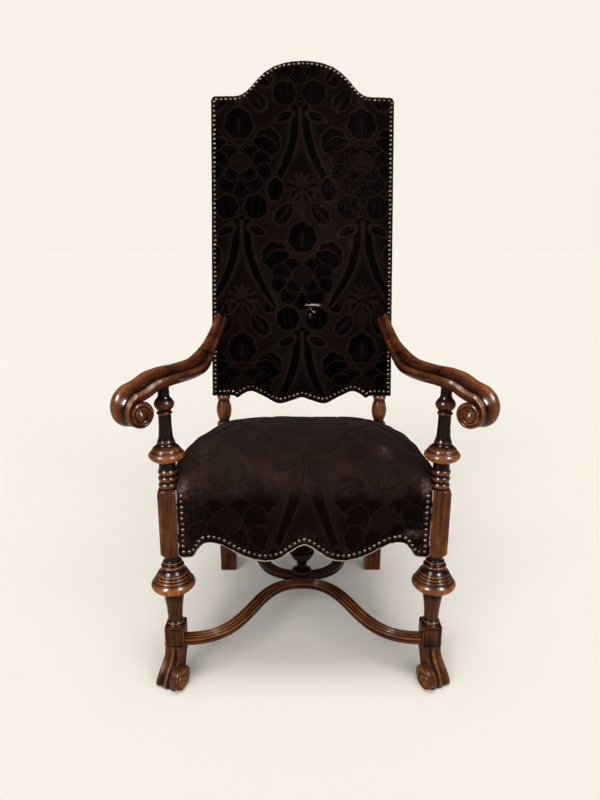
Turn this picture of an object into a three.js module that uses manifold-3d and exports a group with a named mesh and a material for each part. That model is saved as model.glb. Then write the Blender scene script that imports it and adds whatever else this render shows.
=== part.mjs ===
// High-backed carved armchair in the manner of a throne: turned front legs on
// scroll feet, serpentine stretchers with a finial, scroll arms, a domed
// upholstered seat and a tall raked upholstered back. Millimetres, +Z up,
// the sitter faces -Y. Lengths along Y are counted from the front leg axis
// until the end of the file, which moves the origin to the middle of the
// chair's footprint on the floor.
import * as THREE from 'three';
import { mergeVertices } from 'three/addons/utils/BufferGeometryUtils.js';
import Module from 'manifold-3d';

const wasm = await Module();
wasm.setup();

// Gap kept between pieces that touch.
const CLEARANCE = 0.3;

// Stance of the legs, centre to centre.
const FRONT_LEG_SPREAD = 563;
const REAR_LEG_SPREAD = 430.5;
const LEG_DEPTH = 451.6;

// Front leg, section by section from the floor.
const FOOT_HEIGHT = 88;
const STRETCHER_BLOCK = 43;
const STRETCHER_BLOCK_HEIGHT = 49;
const LOWER_TURNING_HEIGHT = 166;
const BELL_RADIUS = 47.8;
const SEAT_BLOCK = 41;
const SEAT_BLOCK_HEIGHT = 154;
const DISC_RADIUS = 37.6;
const COLUMN_RADIUS = 12.8;
const KNOB_RADIUS = 20.1;

// Scroll foot, turned outwards.
const FOOT_TURN = 32;
const FOOT_WIDTH = 42;
const FOOT_REACH = 53;
const FOOT_ROLL_RADIUS = 27;
const FOOT_ROLL_PROUD = 12;
const FOOT_EYE_RADIUS = 13;

// Rear leg.
const REAR_LEG_WIDTH = 45;
const REAR_LEG_SPLAY = 20;
const REAR_BLOCK_TOP = 444;
const BALUSTER_HEIGHT = 108;
const BALUSTER_RADIUS = 20.7;

// Arms.
const ARM_HEIGHT = 709;
const ARM_WIDTH = 52;
const ARM_THICKNESS = 34;
const ARM_BACK_WIDTH = 30;
const ARM_BACK_THICKNESS = 26;
const ARM_BACK_RISE = 62;
const ARM_BACK_SPREAD = 424;
const ARM_FLARE = 43;
const ARM_TENON = 28;
const LEG_TENON_BELOW_CREST = 24;
const VOLUTE_REACH = 67.5;
const VOLUTE_DROP = 77;
const VOLUTE_RADIUS = 27;
const VOLUTE_SHOULDER = 60;
const EYE_RADIUS = 11;

// Stretchers.
const STRETCHER_WIDTH = 26;
const STRETCHER_THICKNESS = 18;
const STRETCHER_HEIGHT = 99;
const STRETCHER_SET_BACK = 222.5;
const BOSS_RADIUS = 25;
const FINIAL_HEIGHT = 84;
const FINIAL_RADIUS = 33;

// Seat.
const SEAT_EDGE_HEIGHT = 430;
const SEAT_CROWN = 104;
const SEAT_OVERHANG = 19;
const SEAT_BELLY = 12;
const APRON_LOW = 306;
const APRON_END_RISE = 9;
const RAIL_THICKNESS = 30;
const UNDERSIDE_HEIGHT = 345;

// Back.
const BACK_RAKE = 10.06;
const BACK_BOTTOM_HEIGHT = 542.5;
const BACK_WIDTH_BOTTOM = 485;
const BACK_WIDTH_TOP = 476;
const BACK_SIDE_LENGTH = 785;
const BACK_ARCH_RISE = 93;
const BACK_SHOULDER = 65;
const BACK_SCALLOP = 20.4;
const BACK_THICKNESS = 48;
const BACK_STAND_OFF = 20;
const BACK_EDGE_ROUND = 7;

// Facets.
const ROUND_FACETS = 14;
const ARM_STEPS = 18;
const STRETCHER_STEPS = 22;

// Heights that follow.
const blockTop = FOOT_HEIGHT + STRETCHER_BLOCK_HEIGHT;
const seatBlockBottom = blockTop + LOWER_TURNING_HEIGHT;
const seatBlockTop = seatBlockBottom + SEAT_BLOCK_HEIGHT;
const legX = FRONT_LEG_SPREAD / 2;
const rearX = REAR_LEG_SPREAD / 2;

const WALNUT = new THREE.Color(0x4a2412);
const DARK_WALNUT = new THREE.Color(0x24120b);
const VELVET = new THREE.Color(0x1d1210);

// Solids

function solid(geometry) {
  const bare = geometry.clone();
  bare.deleteAttribute('normal');
  bare.deleteAttribute('uv');
  const merged = mergeVertices(bare, 1e-4);
  return new wasm.Manifold(new wasm.Mesh({
    numProp: 3,
    vertProperties: new Float32Array(merged.attributes.position.array),
    triVerts: new Uint32Array(merged.index.array),
  }));
}

function toGeometry(body) {
  const mesh = body.getMesh();
  const geometry = new THREE.BufferGeometry();
  geometry.setAttribute('position', new THREE.BufferAttribute(mesh.vertProperties, 3));
  geometry.setIndex(new THREE.BufferAttribute(mesh.triVerts, 1));
  geometry.computeVertexNormals();
  return geometry;
}

function box(x0, x1, y0, y1, z0, z1) {
  const geometry = new THREE.BoxGeometry(x1 - x0, y1 - y0, z1 - z0);
  geometry.translate((x0 + x1) / 2, (y0 + y1) / 2, (z0 + z1) / 2);
  return solid(geometry);
}

function disc(x, y, radius, z0, z1) {
  const geometry = new THREE.CylinderGeometry(radius, radius, z1 - z0, 2 * ROUND_FACETS);
  geometry.rotateX(Math.PI / 2);
  geometry.translate(x, y, (z0 + z1) / 2);
  return solid(geometry);
}

// A turned piece on a vertical axis. Each move is [radius, share of the height,
// swell]: a straight run, or a round one that swells out or hollows in.
function turned(x, y, base, height, start, moves) {
  const points = [new THREE.Vector2(0, 0), new THREE.Vector2(start, 0)];
  let [radius, level] = [start, 0];
  for (const [nextRadius, share, swell] of moves) {
    const nextLevel = share * height;
    const size = Math.abs(swell || 0);
    const steps = size < 1.3 ? 1 : size < 5 ? 2 : 4;
    for (let i = 1; i <= steps; i++) {
      const t = i / steps;
      points.push(new THREE.Vector2(
        THREE.MathUtils.lerp(radius, nextRadius, t) + (swell || 0) * Math.sin(Math.PI * t),
        THREE.MathUtils.lerp(level, nextLevel, t)));
    }
    [radius, level] = [nextRadius, nextLevel];
  }
  points.push(new THREE.Vector2(0, level));
  const geometry = new THREE.LatheGeometry(points, ROUND_FACETS);
  geometry.rotateX(Math.PI / 2);
  geometry.translate(x, y, base);
  return solid(geometry);
}

// A closed skin over rings of equal count, with a flat cap at each end.
function loft(rings) {
  const count = rings[0].length;
  const positions = rings.flat().flatMap((p) => [p.x, p.y, p.z]);
  const index = [];
  for (let i = 0; i + 1 < rings.length; i++) {
    for (let j = 0; j < count; j++) {
      const a = i * count + j;
      const b = i * count + (j + 1) % count;
      index.push(a, b, b + count, a, b + count, a + count);
    }
  }
  const cap = (ring, first, flip) => {
    const origin = ring[0];
    const u = new THREE.Vector3().subVectors(ring[1], origin).normalize();
    const normal = new THREE.Vector3();
    for (let j = 0; j < count; j++) {
      normal.add(new THREE.Vector3().crossVectors(ring[j], ring[(j + 1) % count]));
    }
    const v = new THREE.Vector3().crossVectors(normal.normalize(), u);
    const flat = ring.map((p) => {
      const d = new THREE.Vector3().subVectors(p, origin);
      return new THREE.Vector2(d.dot(u), d.dot(v));
    });
    for (const [a, b, c] of THREE.ShapeUtils.triangulateShape(flat, [])) {
      index.push(first + a, first + (flip ? c : b), first + (flip ? b : c));
    }
  };
  cap(rings[0], 0, true);
  cap(rings.at(-1), (rings.length - 1) * count, false);
  const geometry = new THREE.BufferGeometry();
  geometry.setAttribute('position', new THREE.Float32BufferAttribute(positions, 3));
  geometry.setIndex(index);
  if (signedVolume(geometry) < 0) {
    geometry.setIndex(index.reverse());
  }
  return solid(geometry);
}

function signedVolume(geometry) {
  const p = geometry.attributes.position;
  const corner = (i) => new THREE.Vector3().fromBufferAttribute(p, geometry.index.getX(i));
  let volume = 0;
  for (let i = 0; i < geometry.index.count; i += 3) {
    volume += corner(i).dot(corner(i + 1).cross(corner(i + 2))) / 6;
  }
  return volume;
}

// Rings of one section carried along stations. A section point is [share of
// the width across, share of the thickness below the crest]. A station whose
// relief is under 1 has a softer moulding.
function carried(section, stations, grow = 0) {
  return loft(stations.map((s) => section.map(([a, b]) => new THREE.Vector3()
    .copy(s.crest)
    .addScaledVector(s.across, a * (s.width + 2 * grow))
    .addScaledVector(s.up, grow + (b > -0.5 ? b * (s.relief ?? 1) : b) * (s.thickness + 2 * grow)))));
}

// A flat outline of [x, y] points pulled along Z.
function pulled(points, depth) {
  const shape = new THREE.Shape(points.map(([x, y]) => new THREE.Vector2(x, y)));
  return new THREE.ExtrudeGeometry(shape, { depth, bevelEnabled: false });
}

// Moulded sections: the arm's ridge, flute and bead, and the stretcher's reeds.
const ARM_SECTION = [
  [-0.5, -0.62], [-0.48, -0.14], [-0.4, -0.04], [-0.26, 0], [-0.1, -0.09], [0.06, -0.27],
  [0.2, -0.3], [0.28, -0.2], [0.37, -0.13], [0.46, -0.24], [0.49, -0.5], [0.44, -1], [-0.42, -1],
];
const STRETCHER_SECTION = [
  [-0.5, -0.34], [-0.4, -0.08], [-0.26, -0.2], [-0.13, -0.02], [0, 0], [0.13, -0.02],
  [0.26, -0.2], [0.4, -0.08], [0.5, -0.34], [0.44, -1], [-0.44, -1],
];

// Front legs

function footStations(side) {
  const turn = THREE.MathUtils.degToRad(FOOT_TURN);
  const outward = new THREE.Vector3(side * Math.sin(turn), -Math.cos(turn), 0);
  const across = new THREE.Vector3(-side * Math.cos(turn), -Math.sin(turn), 0);
  const half = STRETCHER_BLOCK / 2;
  // The front line falls from the block, hollows in and flares to the toe.
  const front = new THREE.CubicBezierCurve(
    new THREE.Vector2(half - 3, FOOT_HEIGHT + 1),
    new THREE.Vector2(half - 8, FOOT_HEIGHT * 0.6),
    new THREE.Vector2(FOOT_REACH - 16, FOOT_HEIGHT * 0.42),
    new THREE.Vector2(FOOT_REACH, FOOT_HEIGHT * 0.13));
  const line = front.getPoints(9);
  const low = Math.min(...line.map((p) => p.y));
  line.push(new THREE.Vector2(FOOT_REACH - 3, low * 0.3), new THREE.Vector2(FOOT_REACH - 12, 0));
  return { outward, across, line };
}

function foot(side) {
  const { outward, across, line } = footStations(side);
  const axis = new THREE.Vector3(side * legX, 0, 0);
  const place = (s, t, z) => axis.clone().addScaledVector(outward, s)
    .addScaledVector(across, t).setZ(z);
  // Reeded strip: its back edge runs down from the block into the roll.
  const rings = line.map((p, i) => {
    const t = i / (line.length - 1);
    const rear = THREE.MathUtils.lerp(-STRETCHER_BLOCK / 2 + 5, 8, Math.min(1, 1.2 * t));
    const depth = p.x - rear;
    return ARM_SECTION.map(([a, b]) => place(
      p.x + b * (b > -0.5 ? STRETCHER_BLOCK * 0.35 : depth), -a * FOOT_WIDTH, p.y));
  });
  let body = loft(rings);
  // The roll under the foot, with its proud inner end and its eye.
  const roll = (radius, s, z, from, to) => {
    const geometry = new THREE.CylinderGeometry(radius, radius, to - from, ROUND_FACETS);
    geometry.translate(0, (from + to) / 2, 0);
    const basis = new THREE.Matrix4().makeBasis(outward, across,
      new THREE.Vector3().crossVectors(outward, across));
    geometry.applyMatrix4(basis);
    const centre = place(s, 0, z);
    geometry.translate(centre.x, centre.y, centre.z);
    return solid(geometry);
  };
  const inner = -FOOT_WIDTH / 2 + 1;
  const outer = FOOT_WIDTH / 2;
  const middle = FOOT_REACH / 3;
  body = body.add(roll(FOOT_ROLL_RADIUS, middle, FOOT_ROLL_RADIUS, inner, outer + FOOT_ROLL_PROUD));
  body = body.add(roll(FOOT_EYE_RADIUS, middle + FOOT_EYE_RADIUS, FOOT_EYE_RADIUS + 4,
    inner, outer + FOOT_ROLL_PROUD + 3));
  // A flat worn sole.
  const far = FRONT_LEG_SPREAD;
  return body.subtract(box(-far, far, -far, far, -far, 0.8)).translate([0, 0, -0.8]);
}

function stretcherBlock(side) {
  const half = STRETCHER_BLOCK / 2;
  const x = side * legX;
  let block = box(x - half, x + half, -half, half, FOOT_HEIGHT - 2, blockTop);
  // Sunk line round a raised square panel, on the front face.
  const [rim, sink] = [5, 2.5];
  const [low, high] = [FOOT_HEIGHT + 4, blockTop - 5];
  const groove = box(x - half + rim, x + half - rim, -half - 1, -half + 1.2, low, high)
    .subtract(box(x - half + rim + sink, x + half - rim - sink, -half - 2, -half + 2,
      low + sink, high - sink));
  block = block.subtract(groove);
  return block;
}

function lowerTurning(side) {
  const neck = 15.8;
  return turned(side * legX, 0, blockTop - 1, LOWER_TURNING_HEIGHT + 6, 17, [
    [14.5, 0.018], [14.8, 0.066, 3.6], [neck, 0.084], [20.8, 0.37, -1.2], [22, 0.43],
    [BELL_RADIUS - 9, 0.49, -2], [BELL_RADIUS - 8, 0.64, 8], [BELL_RADIUS - 11, 0.65],
    [BELL_RADIUS - 12, 0.7, 2], [27.5, 0.785, -3.5], [26, 0.83, 2.5], [20.8, 0.84],
    [18, 0.88, -1], [17, 0.915, 2.5], [neck, 0.925], [neck, 1],
  ]);
}

// Square seat block whose ends are turned down to the round.
function seatBlock(side) {
  const half = SEAT_BLOCK / 2;
  const corner = half * Math.SQRT2 + 0.5;
  const x = side * legX;
  const block = box(x - half, x + half, -half, half, seatBlockBottom, seatBlockTop);
  const shoulder = 12 / SEAT_BLOCK_HEIGHT;
  return block.intersect(turned(x, 0, seatBlockBottom, SEAT_BLOCK_HEIGHT, 17, [
    [corner, 1.1 * shoulder, 2], [corner, 1 - shoulder], [19.5, 1, 2],
  ]));
}

function upperTurning(side) {
  const rings = [];
  for (let i = 0; i < 3; i++) {
    const share = 0.028 + i * 0.062;
    rings.push([17.4, share], [17.4, share + 0.052, 2.6]);
  }
  const base = seatBlockTop - 4;
  const height = ARM_HEIGHT - LEG_TENON_BELOW_CREST - base;
  return turned(side * legX, 0, base, height, 18.5, [
    ...rings, [17.3, 0.215], [17.3, 0.268], [DISC_RADIUS - 7, 0.283, -1],
    [DISC_RADIUS - 7, 0.39, 7], [24.5, 0.41], [17.9, 0.452, -2], [13.5, 0.52, -0.8],
    [COLUMN_RADIUS, 0.6], [13.2, 0.7], [13.2, 0.725, 2.2], [13.2, 0.73],
    [13.6, 0.845, KNOB_RADIUS - 13.4], [11.4, 0.885, -0.6], [11.4, 1],
  ]);
}

// Arms

// Crest line of the arm, from inside the back to the top of its volute.
function armCrest(side) {
  const flare = THREE.MathUtils.degToRad(ARM_FLARE);
  const backX = ARM_BACK_SPREAD / 2;
  const rakedBy = Math.tan(THREE.MathUtils.degToRad(BACK_RAKE));
  const run = LEG_DEPTH - BACK_STAND_OFF + (ARM_HEIGHT + ARM_BACK_RISE - BACK_BOTTOM_HEIGHT) * rakedBy;
  const lean = legX - backX;
  const reach = (s, z) => new THREE.Vector3(
    side * (legX + s * Math.sin(flare)), -s * Math.cos(flare), z);
  const along = (share, out, rise, further = 0) => new THREE.Vector3(
    side * (backX + out * lean), share * run + further, ARM_HEIGHT + rise * ARM_BACK_RISE);
  const volute = reach(VOLUTE_REACH, ARM_HEIGHT - VOLUTE_DROP + VOLUTE_SHOULDER);
  return new THREE.CatmullRomCurve3([
    along(1, -0.03, 1.3, ARM_TENON), along(0.996, 0.08, 0.9), along(0.847, 0.345, 0.02),
    along(0.636, 0.39, -0.19), along(0.407, 0.45, -0.24), along(0.2, 0.72, -0.16), along(0, 1, 0),
    reach(0.48 * VOLUTE_REACH, ARM_HEIGHT - 5), volute,
  ], false, 'centripetal');
}

function armStations(side) {
  const curve = armCrest(side);
  const stations = [];
  for (let i = 0; i <= ARM_STEPS; i++) {
    const t = i / ARM_STEPS;
    const tangent = curve.getTangentAt(t);
    const across = new THREE.Vector3(tangent.y, -tangent.x, 0).normalize().multiplyScalar(side);
    const up = new THREE.Vector3().crossVectors(across, tangent).multiplyScalar(side).normalize();
    if (up.z < 0) {
      up.negate();
    }
    const full = THREE.MathUtils.smoothstep(t, 0.1, 0.7);
    stations.push({
      crest: curve.getPointAt(t), across, up, relief: THREE.MathUtils.lerp(0.35, 1, full),
      width: THREE.MathUtils.lerp(ARM_BACK_WIDTH, ARM_WIDTH, full),
      thickness: THREE.MathUtils.lerp(ARM_BACK_THICKNESS, ARM_THICKNESS, full),
    });
  }
  return stations;
}

// The volute: the arm rolls forwards, down and under round its drum.
function voluteStations(side) {
  const flare = THREE.MathUtils.degToRad(ARM_FLARE);
  const outward = new THREE.Vector3(side * Math.sin(flare), -Math.cos(flare), 0);
  const across = new THREE.Vector3(-side * Math.cos(flare), -Math.sin(flare), 0);
  const centre = new THREE.Vector3(side * legX, 0, ARM_HEIGHT - VOLUTE_DROP)
    .addScaledVector(outward, VOLUTE_REACH);
  const stations = [];
  // Degrees from the level line: a little behind the top, round to underneath.
  const [first, last, steps] = [97, -98, 10];
  for (let i = 0; i <= steps; i++) {
    const share = i / steps;
    const angle = THREE.MathUtils.degToRad(THREE.MathUtils.lerp(first, last, share));
    const radius = THREE.MathUtils.lerp(VOLUTE_SHOULDER, VOLUTE_RADIUS + 1, share ** 0.75);
    const up = outward.clone().multiplyScalar(Math.cos(angle)).setZ(Math.sin(angle));
    stations.push({
      crest: centre.clone().addScaledVector(up, radius), across, up, width: ARM_WIDTH,
      thickness: radius - 0.82 * VOLUTE_RADIUS,
    });
  }
  return { stations, centre, outward, across };
}

function volute(side, grow = 0) {
  const { stations, centre, outward, across } = voluteStations(side);
  const profile = [
    [0, -0.5 * ARM_WIDTH + 3], [VOLUTE_RADIUS - 3, -0.5 * ARM_WIDTH + 3],
    [VOLUTE_RADIUS, -0.5 * ARM_WIDTH + 6], [VOLUTE_RADIUS, 0.5 * ARM_WIDTH - 4],
    [VOLUTE_RADIUS - 3.5, 0.5 * ARM_WIDTH - 1], [VOLUTE_RADIUS - 7, 0.5 * ARM_WIDTH - 3],
    [EYE_RADIUS + 4, 0.5 * ARM_WIDTH - 3], [EYE_RADIUS, 0.5 * ARM_WIDTH - 4],
    [EYE_RADIUS - 1, 0.5 * ARM_WIDTH + 1], [EYE_RADIUS - 5, 0.5 * ARM_WIDTH + 3],
    [0, 0.5 * ARM_WIDTH + 3.5],
  ];
  const drum = new THREE.LatheGeometry(profile.map(([r, y]) => new THREE.Vector2(r, y)),
    ROUND_FACETS);
  const third = new THREE.Vector3().crossVectors(outward, across);
  drum.applyMatrix4(new THREE.Matrix4().makeBasis(outward, across, third).setPosition(centre));
  return carried(ARM_SECTION, stations, grow).add(solid(drum));
}

function armBody(side, grow = 0) {
  return carried(ARM_SECTION, armStations(side), grow).add(volute(side, grow));
}

// Back

function backOutline() {
  const half = BACK_WIDTH_TOP / 2;
  const shoulder = half - BACK_SHOULDER;
  const top = BACK_SIDE_LENGTH;
  const rise = BACK_ARCH_RISE;
  const arch = new THREE.Path();
  arch.moveTo(half, top);
  arch.lineTo(1.035 * shoulder, top + 0.02 * rise);
  arch.bezierCurveTo(0.884 * shoulder, top + 0.03 * rise, 0.792 * shoulder, top + 0.24 * rise,
    0.676 * shoulder, top + 0.5 * rise);
  arch.bezierCurveTo(0.526 * shoulder, top + 0.86 * rise, 0.29 * shoulder, top + rise, 0, top + rise);
  const scallops = new THREE.SplineCurve([
    [0, -0.2], [0.107, -0.59], [0.256, -1], [0.433, 0], [0.573, 0.64], [0.68, 0.1], [0.7175, -0.245],
  ].map(([out, up]) => new THREE.Vector2(out * BACK_WIDTH_BOTTOM / 2, up * BACK_SCALLOP)));
  const right = [
    ...scallops.getPoints(14), new THREE.Vector2(0.759 * BACK_WIDTH_BOTTOM / 2, 0),
    new THREE.Vector2(BACK_WIDTH_BOTTOM / 2, 0), ...arch.getPoints(7),
  ];
  const left = right.slice(1, -1).reverse().map((p) => new THREE.Vector2(-p.x, p.y));
  return [...right, ...left];
}

// The upholstered back, or the room it needs, grown by a clearance.
function backBody(grow = 0) {
  const round = BACK_EDGE_ROUND;
  const outline = new THREE.Shape(backOutline());
  const geometry = new THREE.ExtrudeGeometry(outline, {
    depth: BACK_THICKNESS - 2 * round + 2 * grow, bevelEnabled: true, bevelSegments: 2,
    bevelSize: round, bevelThickness: round, bevelOffset: grow - round, curveSegments: 1,
  });
  geometry.translate(0, 0, round - BACK_THICKNESS - grow);
  // Lay the outline's Y along the raked face, its front looking to -Y.
  geometry.rotateX(Math.PI / 2);
  geometry.rotateX(-THREE.MathUtils.degToRad(BACK_RAKE));
  geometry.translate(0, LEG_DEPTH - BACK_STAND_OFF, BACK_BOTTOM_HEIGHT);
  return solid(geometry);
}

// Rear legs

function rearLeg(side) {
  const half = REAR_LEG_WIDTH / 2;
  const x = side * rearX;
  const floorY = LEG_DEPTH + REAR_LEG_SPLAY;
  const outline = pulled([
    [floorY - half + 2, 0], [floorY + half - 2, 0], [LEG_DEPTH + half, REAR_BLOCK_TOP],
    [LEG_DEPTH - half, REAR_BLOCK_TOP],
  ], REAR_LEG_WIDTH);
  outline.rotateX(Math.PI / 2);
  outline.rotateZ(Math.PI / 2);
  outline.translate(x - half, 0, 0);
  const baluster = turned(x, LEG_DEPTH, REAR_BLOCK_TOP - 1, BALUSTER_HEIGHT, 19, [
    [17.5, 0.06], [17, 0.2, 3], [14.1, 0.22], [15.2, 0.28], [15.2, 0.76, BALUSTER_RADIUS - 15.2],
    [16.5, 0.82], [16.5, 0.9, 1.5], [16.5, 1],
  ]);
  return solid(outline).add(baluster);
}

// Stretchers

// One serpentine rail: square out of the legs, then swung to the middle.
// The two shares of its half span say how long it stays square at each end.
function stretcherStations(endX, endY, middleY, atLeg, atMiddle) {
  const half = new THREE.CubicBezierCurve(
    new THREE.Vector2(endX, endY), new THREE.Vector2(endX * (1 - atLeg), endY),
    new THREE.Vector2(endX * atMiddle, middleY), new THREE.Vector2(0, middleY));
  const right = half.getSpacedPoints(STRETCHER_STEPS / 2);
  const left = right.slice(0, -1).map((p) => new THREE.Vector2(-p.x, p.y)).reverse();
  const line = [...right, ...left];
  return line.map((p, i) => {
    const before = line[Math.max(i - 1, 0)];
    const after = line[Math.min(i + 1, line.length - 1)];
    const tangent = i === 0 || i === line.length - 1
      ? new THREE.Vector2(-1, 0) : after.clone().sub(before).normalize();
    return {
      crest: new THREE.Vector3(p.x, p.y, STRETCHER_HEIGHT + STRETCHER_THICKNESS / 2),
      across: new THREE.Vector3(-tangent.y, tangent.x, 0), up: new THREE.Vector3(0, 0, 1),
      width: STRETCHER_WIDTH, thickness: STRETCHER_THICKNESS,
    };
  });
}

const bossY = STRETCHER_SET_BACK + STRETCHER_WIDTH / 2 + 0.94 * BOSS_RADIUS;
const stretcherTop = STRETCHER_HEIGHT + STRETCHER_THICKNESS / 2;

function frontStretcher() {
  const end = legX - STRETCHER_BLOCK / 2 - CLEARANCE;
  return carried(STRETCHER_SECTION, stretcherStations(end, 0, STRETCHER_SET_BACK, 0.62, 0.54))
    .subtract(disc(0, bossY, BOSS_RADIUS + CLEARANCE, 0, blockTop));
}

function rearStretcher() {
  const lift = STRETCHER_HEIGHT / REAR_BLOCK_TOP;
  const endY = LEG_DEPTH + REAR_LEG_SPLAY * (1 - lift);
  const end = rearX - REAR_LEG_WIDTH / 2 - CLEARANCE;
  return carried(STRETCHER_SECTION, stretcherStations(end, endY, bossY, 0.62, 0.85))
    .add(disc(0, bossY, BOSS_RADIUS, stretcherTop - STRETCHER_THICKNESS, stretcherTop));
}

function finial() {
  return turned(0, bossY, stretcherTop + CLEARANCE, FINIAL_HEIGHT, BOSS_RADIUS, [
    [BOSS_RADIUS - 1, 0.1, 1.5], [12, 0.3, -3], [12, 0.36, 2], [14, 0.4], [FINIAL_RADIUS - 4, 0.62, 2],
    [FINIAL_RADIUS - 4, 0.72, 4], [FINIAL_RADIUS - 6, 0.73], [8, 0.92, 4], [4, 0.93], [0.5, 1, 3],
  ]);
}

// Seat

// Line of the front apron's lower edge, right half, as [x, z].
function apronLine() {
  const inner = legX - SEAT_BLOCK / 2;
  const low = APRON_LOW;
  const curve = new THREE.SplineCurve([
    new THREE.Vector2(0, low + 37), new THREE.Vector2(0.11 * inner, low + 22),
    new THREE.Vector2(0.2 * inner, low + 5), new THREE.Vector2(0.34 * inner, low),
    new THREE.Vector2(0.5 * inner, low + 14), new THREE.Vector2(0.68 * inner, low + 40),
    new THREE.Vector2(0.79 * inner, low + 42), new THREE.Vector2(0.86 * inner, low + 22),
    new THREE.Vector2(0.88 * inner, low + 12),
  ]);
  return [...curve.getPoints(18), new THREE.Vector2(inner + SEAT_BLOCK / 2, low + APRON_END_RISE)];
}

// Plan of the seat as a ring of points, drawn in towards its middle by `share`.
function seatPlan(share, belly) {
  const front = -SEAT_BLOCK / 2 - belly;
  const rear = LEG_DEPTH + REAR_LEG_WIDTH / 2;
  const middle = (front + rear) / 2;
  const wide = legX + SEAT_OVERHANG;
  const narrow = rearX + REAR_LEG_WIDTH / 2;
  const corners = [[-wide, front], [wide, front], [narrow, rear], [-narrow, rear]];
  const perSide = 7;
  const ring = [];
  corners.forEach(([x0, y0], i) => {
    const [x1, y1] = corners[(i + 1) % 4];
    for (let j = 0; j < perSide; j++) {
      const t = j / perSide;
      const x = THREE.MathUtils.lerp(x0, x1, t);
      const y = THREE.MathUtils.lerp(y0, y1, t);
      ring.push({
        x: share * x, y: middle + share * (y - middle),
        across: share * x / THREE.MathUtils.mapLinear(y, front, rear, wide, narrow),
        back: share * (y - middle) / (rear - middle),
      });
    }
  });
  return ring;
}

function seatRing(share, belly, height) {
  return seatPlan(share, belly).map((p) => new THREE.Vector3(p.x, p.y, height(p)));
}

// Stuffed top: full to the sides, rounder and lower towards the back.
function domeHeight({ across, back }) {
  const side = (1 - Math.min(1, Math.abs(across)) ** 3) ** (1 / 3);
  const length = Math.sqrt(1 - Math.min(1, Math.abs(back)) ** 2.2) * (1 - 0.32 * back);
  return SEAT_EDGE_HEIGHT + SEAT_CROWN * side * length;
}

function seat() {
  const sideHeight = (share) => () => THREE.MathUtils.lerp(APRON_LOW, SEAT_EDGE_HEIGHT, share);
  const rings = [
    seatRing(0.985, 0.33 * SEAT_BELLY, sideHeight(-0.05)),
    seatRing(1, 0.8 * SEAT_BELLY, sideHeight(0.31)),
    seatRing(1, SEAT_BELLY, sideHeight(0.68)), seatRing(1, SEAT_BELLY, sideHeight(1)),
  ];
  for (const share of [0.985, 0.94, 0.86, 0.74, 0.58, 0.36, 0.12]) {
    rings.push(seatRing(share, SEAT_BELLY, domeHeight));
  }
  let body = loft(rings);
  // Room for the legs at the four corners.
  const far = FRONT_LEG_SPREAD;
  const frontRoom = SEAT_BLOCK / 2 + CLEARANCE;
  const rearRoom = REAR_LEG_WIDTH / 2 + CLEARANCE;
  for (const side of [-1, 1]) {
    const sorted = (a, b) => [Math.min(a, b), Math.max(a, b)];
    const [x0, x1] = sorted(side * (legX - frontRoom), side * far);
    body = body.subtract(box(x0, x1, -far, frontRoom, 0, far * 2));
    const [x2, x3] = sorted(side * (rearX - rearRoom), side * far);
    body = body.subtract(box(x2, x3, LEG_DEPTH - rearRoom, far * 2, 0, far * 2));
  }
  // Scalloped front apron, and a flat underside behind it.
  const line = apronLine();
  const mirrored = line.slice(1).reverse().map((p) => new THREE.Vector2(-p.x, p.y));
  const edge = [...mirrored, ...line].map((p) => [p.x, p.y]);
  const ends = [[edge.at(-1)[0], 0], [edge[0][0], 0]];
  const railBack = RAIL_THICKNESS - SEAT_BLOCK / 2 - SEAT_BELLY;
  const cutter = pulled([...edge, ...ends], far);
  cutter.rotateX(Math.PI / 2);
  cutter.translate(0, railBack + 1, 0);
  return body.subtract(solid(cutter))
    .subtract(box(-far, far, railBack, far * 2, 0, UNDERSIDE_HEIGHT));
}

// The chair

const back = backBody();
const backRoom = backBody(CLEARANCE);
const pieces = [];
for (const side of [-1, 1]) {
  const name = side < 0 ? 'left' : 'right';
  const armRoom = armBody(side, CLEARANCE);
  const leg = foot(side).add(stretcherBlock(side)).add(lowerTurning(side))
    .add(seatBlock(side)).add(upperTurning(side)).subtract(armRoom);
  pieces.push([`front_leg_${name}`, leg, WALNUT, 0.38]);
  pieces.push([`rear_leg_${name}`, rearLeg(side).subtract(backRoom), DARK_WALNUT, 0.4]);
  pieces.push([`arm_${name}`, armBody(side).subtract(backRoom), WALNUT, 0.32]);
}
pieces.push(['stretcher_front', frontStretcher(), WALNUT, 0.38]);
pieces.push(['stretcher_rear', rearStretcher(), DARK_WALNUT, 0.4]);
pieces.push(['stretcher_finial', finial(), DARK_WALNUT, 0.34]);
pieces.push(['seat', seat(), VELVET, 0.95]);
pieces.push(['back', back, VELVET, 0.95]);

const throne = new THREE.Group();
throne.name = 'throne';
for (const [name, body, color, roughness] of pieces) {
  const material = new THREE.MeshStandardMaterial({ color, roughness, metalness: 0 });
  const mesh = new THREE.Mesh(toGeometry(body), material);
  mesh.name = name;
  throne.add(mesh);
}

// Origin: on the floor, midway between the foremost and rearmost points.
const extent = new THREE.Box3().setFromObject(throne);
throne.position.set(0, -(extent.min.y + extent.max.y) / 2, 0);

export default throne;
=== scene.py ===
"""A tall-backed walnut armchair throne: waxed wood, figured velvet and brass nails.

Lengths inside the classes are millimetres; a mesh is made in metres. The leg frame counts Y
from the axis of the front legs, and LEG_AXIS_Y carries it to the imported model's frame.
"""

import logging
import math
from dataclasses import dataclass, field
from enum import Enum
from typing import Any, Iterable, Optional, Sequence

import bpy
import numpy as np
from mathutils import Matrix, Vector


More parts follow.
